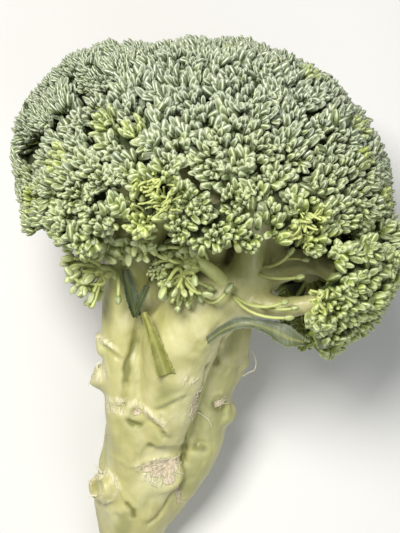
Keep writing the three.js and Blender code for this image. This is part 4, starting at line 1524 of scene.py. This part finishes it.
# %% Lines and umbels of the side shoots
# Stems: stops x, y, z, radius. Umbels: root, direction, fan in degrees, number, longest reach, size of a bud
SHOOTS = {
    "sprig_left": {
        "stems": [
            [(-31, 13, 76, 2.2), (-35, 15, 77.5, 1.9), (-39, 15.5, 78, 1.6)],
            [(-33, 14, 77, 1.6), (-35, 12.5, 79, 1.4), (-36.5, 11, 80, 1.2)],
            [(-29, 14, 74, 1.6), (-28, 20, 84, 1.3), (-27.5, 23, 92, 1.0)],
            [(-31, 14, 74, 1.6), (-34, 22, 82, 1.3), (-35.5, 26, 88, 1.0)],
        ],
        "umbels": [
            ((-39, 15.5, 78), (-1, -0.1, 0.0), 44, 15, 16, 2.9),
            ((-37, 12.5, 80), (-0.75, -0.7, 0.2), 42, 14, 14.5, 2.8),
            ((-27, 23.5, 93), (-0.25, -0.75, 0.6), 60, 18, 11, 3.1),
            ((-35.5, 26.5, 89), (-0.7, -0.6, 0.45), 60, 18, 11.5, 3.1),
            ((-20, 21.5, 98), (0.1, -0.7, 0.7), 58, 10, 9, 2.7),
        ],
    },
    "sprig_front": {
        "stems": [
            [(14, 4, 77, 3.8), (8.5, 10, 82, 3.1), (2, 15, 85, 2.6), (-5, 17.5, 88, 2.0), (-13, 19, 91, 1.2)],
            [(-1, 15, 84, 2.0), (-5, 12, 87, 1.7), (-7, 9, 88, 1.4)],
            [(-4, 15, 85, 1.3), (-9, 15, 87, 1.1), (-14, 14, 88, 0.9)],
        ],
        "umbels": [
            ((-6.5, 11, 89), (0.15, -1, 0.1), 66, 16, 16.5, 2.5),
            ((-8, 10, 89), (-0.6, -0.8, 0.2), 50, 7, 12, 2.3),
            ((-14.5, 13.5, 87), (-0.4, -0.2, 0.85), 80, 50, 6.0, 1.4),
            ((-1, 15.5, 86), (-0.75, 0.35, 0.55), 48, 12, 14, 2.2),
            ((-6, 17, 88), (-0.85, 0.3, 0.5), 46, 12, 12.5, 2.4),
        ],
    },
}
# Single buds on long stems: root, bend, end, size of the bud
SINGLES = [
    ((1.9, 16.4, 84), (-7.2, 20.4, 97), (-16.2, 19, 98), 2.5),
    ((-3.5, 16.6, 86), (-9.5, 24, 98), (-11.8, 24.4, 100), 2.1),
    ((-5.5, 16.6, 87), (-9.2, 14, 97), (-14.4, 17.5, 96), 2.2),
    ((-7.5, 17.4, 88), (-13.1, 15, 98), (-19.4, 20.1, 98), 2.7),
    ((-1.9, 14.9, 85), (-10.9, 16.5, 94), (-18.2, 14.3, 92), 1.9),
    ((0, 16.4, 85), (-5, 24, 98), (-7.1, 26.3, 103), 2.2),
    ((3, 17, 85), (-2, 27, 97), (-0.5, 27, 104), 2.2),
    ((-0.4, 5.9, 84), (5.0, -2, 92), (12.1, 7.9, 90), 2.9),
    ((12.8, 4.1, 84), (20.2, -3.5, 95), (32.7, 1.1, 92), 2.2),
    ((11.7, 4.8, 84), (18.1, -6, 94), (34.1, -5, 91), 2.2),
    ((19, 1.9, 82), (27.2, -3, 93), (36.3, -1.5, 93), 2.0),
    ((9.5, 23.6, 116), (8.4, 18.7, 126), (6.4, 14.8, 121), 2.6),
    ((9.8, 23.6, 116), (11, 17.7, 126), (13.5, 13.6, 120), 2.7),
    ((7.4, 22.2, 116), (4.7, 19.7, 125), (1.7, 17, 120), 2.3),
    ((14, 23, 114), (18, 17, 122), (21, 18, 120), 2.2),
    ((22, 15, 84), (29, 13, 98), (33.4, 18.4, 104), 2.2),
    ((20, 13, 84), (28, 8, 94), (38, 9, 98), 2.2),
    ((24, 13, 82), (30, 17, 96), (39, 14, 102), 2.0),
    ((-30.6, 12.2, 79), (-30, 6.2, 87), (-30.5, 0.6, 82), 2.6),
]
SHOOT_STEM_RADIUS = 0.62
SHOOT_BEND = 0.2
SHOOT_BUD_WIDTH, SHOOT_BUD_LENGTH = 1.0, 1.9
SHOOT_OVERLAP = 0.2
USUAL_SHOOT_BUD = 2.2
print(len(SINGLES), "single buds")

# %% Grow the side shoots
def fan_of_ways(towards, fan, count, rng):
    """Directions that fan out round one, closer in the middle."""
    axis = unit(towards)
    side = unit(np.cross((0.3, 0.2, 1.0), axis))
    other = np.cross(axis, side)
    lean = np.radians(fan) * np.sqrt(np.arange(count) / count)
    turn = np.arange(count) * GOLDEN_ANGLE + rng.random(count) * 0.5
    across = side * np.cos(turn)[:, None] + other * np.sin(turn)[:, None]
    return unit(axis * np.cos(lean)[:, None] + across * np.sin(lean)[:, None])


def umbel(root, towards, fan, count, reach, size, rng):
    """Roots, bends, ends and bud sizes of one umbel."""
    ways = fan_of_ways(towards, fan, count, rng)
    length = (reach * rng.uniform(0.6, 1.0, count))[:, None]
    roots = np.repeat([root], count, 0)
    bends = roots + ways * length * 0.5 + rng.normal(0, SHOOT_BEND * reach, ways.shape)
    return roots, bends, roots + ways * length, size * rng.uniform(0.75, 1.15, count)


def grow_shoots(number, name, stems, umbels):
    """The finished object of one side shoot."""
    rng = np.random.default_rng(700 + number)
    rows = [umbel(*each, rng) for each in umbels]
    if name == "sprig_front":
        rows.append(tuple(np.array([single[k] for single in SINGLES], float) for k in range(4)))
    roots, bends, ends, sizes = (np.concatenate(parts) for parts in zip(*rows))
    ways = unit(ends - bends)
    ends = keep_in_room(ends, ways, sizes, sizes * SHOOT_BUD_LENGTH)
    feet = ends - ways * (sizes * (SHOOT_BUD_LENGTH - SHOOT_OVERLAP))[:, None]
    fresh = rng.uniform(0.5, 1.0, len(ends))
    lines = Lines()
    thick = SHOOT_STEM_RADIUS * np.sqrt(sizes / USUAL_SHOOT_BUD)
    lines.add(roots, bends - ways * (sizes * 0.6)[:, None], feet, thick * 1.1, thick, fresh, 8)
    branches = chain([smooth_line(stops, 6) for stops in stems])
    bud_size = SHOOT_BUD_WIDTH, SHOOT_BUD_LENGTH
    meshes = [
        grow(branches, stem_tree, {"Sides": 8, "Material": branch_look}),
        bud_mesh(ends, ways, sizes, fresh, 40 + number, *bud_size, look=pale_buds_look),
        lines.mesh(6, pale_stems_look),
    ]
    return make_piece(name + "_buds", meshes, [name])


shoots = [grow_shoots(number, name, **each) for number, (name, each) in enumerate(SHOOTS.items())]
print([shoot.name for shoot in shoots])

# %% [markdown]
# ## Leaves
#
# Three small leaves were left on: a curled one under the crown's right side, a folded one at the left, and
# the stalk of one that was cut. A blade is a thin sheet with a thick middle vein, cupped and wavy, and its
# edge is a little ragged.

# %% Grow the leaves
# Each blade: stops x, y, z and half width, the way it faces, and thickness, cup and wave in millimetres
LEAVES = {
    "leaf_right": [{
        "stops": [(3, -12, 77.2, 1.5), (9, -8.5, 82.5, 2), (15.7, -6.5, 86, 2.1), (21, -7.5, 87.5, 2.2),
                  (27, -9.5, 87.5, 3.6), (32, -12, 86.5, 4.2), (38, -13.5, 85, 1.6)],
        "face": (0, 0.25, 1), "thick": 1.1, "cup": 1.2, "wave": 0.7, "waves": 2.2,
    }],
    "leaf_left": [
        {"stops": [(-24.5, -2.5, 75.5, 1.4), (-22, 3, 79.5, 1.5), (-19.5, 8, 81.5, 1.3)],
         "face": (-0.4, 0.2, 1), "thick": 1.4, "cup": 0.5, "wave": 0, "waves": 0},
        {"stops": [(-24.5, -2.5, 75.5, 1.6), (-26.3, 5, 80, 2.8), (-28.5, 14, 82.5, 1.4)],
         "face": (0.5, 0, 1), "thick": 1.0, "cup": 1.4, "wave": 0.4, "waves": 1.5},
    ],
    "leaf_stalk_cut": [{
        "stops": [(-13, -24, 70.6, 3.4), (-15, -18, 73.6, 2.9), (-17.8, -10, 77.4, 2.0),
                  (-21, -1.5, 79.5, 1.0)],
        "face": (0, 0, 1), "thick": 1.6, "cup": 1.6, "wave": 0, "waves": 0,
    }],
}
LEAF_STEPS = 60
LEAF_ACROSS = 12
RAGGED_SHARE = 0.10
RIM_SHARE = 0.35


def leaf_mesh(stops, face, thick, cup, wave, waves, seed):
    """A closed blade along a line, cupped across, thinner towards its ragged edge."""
    line, half_width = smooth_line(stops, 20)
    share = np.linspace(0, 1, LEAF_STEPS)
    place = np.stack([np.interp(share, np.linspace(0, 1, len(line)), line[:, k]) for k in range(3)], 1)
    width = np.interp(share, np.linspace(0, 1, len(line)), half_width)
    tangent = unit(np.gradient(place, axis=0))
    sideways = unit(np.cross(tangent, unit(face)))
    up = np.cross(sideways, tangent)
    side = np.linspace(-1, 1, LEAF_ACROSS)
    points = []
    for layer in (0.5, -0.5):
        for s in side:
            lift = cup * s * s + wave * s * np.sin(share * waves * 2 * math.pi)
            teeth = np.sin(share * 61 + seed) * np.sin(share * 23 + 2 * s)
            ragged = 1 + RAGGED_SHARE * s * s * teeth
            body = layer * thick * (RIM_SHARE + (1 - RIM_SHARE) * (1 - abs(s)) ** 1.5)
            points.append(place + sideways * (s * width * ragged)[:, None] + up * (lift + body)[:, None])
    grid = np.arange(2 * LEAF_ACROSS * LEAF_STEPS).reshape(2, LEAF_ACROSS, LEAF_STEPS)
    faces = []
    loop = np.concatenate([grid[0], grid[1][::-1]])
    for a, b in zip(loop, np.roll(loop, -1, 0)):
        faces += [(a[k], b[k], b[k + 1], a[k + 1]) for k in range(LEAF_STEPS - 1)]
    faces.append(tuple(loop[::-1, 0]))
    faces.append(tuple(loop[:, -1]))
    across = np.tile(np.repeat(side, LEAF_STEPS), 2)
    return mesh_of("blade", np.vstack(points), faces=faces, across=across)


def leaf_finish(name, blade, vein, rim):
    """A blade with a paler middle vein and a waxy, bluish rim."""
    finish = Finish(name)
    across = finish.attribute("across")
    side = across * across
    cloud = finish.noise(160.0, 4.0)
    mottled = finish.mix(cloud.between(0.35, 0.7) * 0.6, blade, rim)
    edged = finish.mix(side.between(0.45, 0.95) * 0.7, mottled, rim)
    whole = finish.mix(side.between(0.005, 0.05), vein, edged)
    veins = finish.noise(420.0, 2.0, (1, 0.25, 1))
    return finish.wear(Base_Color=whole, Roughness=0.5, Normal=finish.bump(veins + cloud, 0.0006))


# Each leaf: the name of its finish, the colours of its blade, vein and rim, and its slot
LEAF_LOOKS = {
    "leaf_right": ("right leaf", (92, 98, 66), (126, 130, 84), (122, 130, 112), "leaves"),
    "leaf_left": ("left leaf", (60, 70, 36), (84, 92, 44), (84, 96, 70), "leaves"),
    "leaf_stalk_cut": ("cut leaf stalk", (124, 124, 56), (144, 144, 74), (156, 156, 88), "leaf_stalk"),
}


def grow_leaf(name, blades):
    """The finished object of one leaf."""
    look_name, *colours, slot = LEAF_LOOKS[name]
    look = leaf_finish(look_name, *(colour(*each) for each in colours))
    meshes = [leaf_mesh(**each, seed=7 * k) for k, each in enumerate(blades)]
    for mesh in meshes:
        mesh.materials.append(look)
        mesh.shade_smooth()
    return make_piece(name + "_blade", meshes, [name])


leaf_pieces = [grow_leaf(name, blades) for name, blades in LEAVES.items()]
print([piece.name for piece in leaf_pieces])
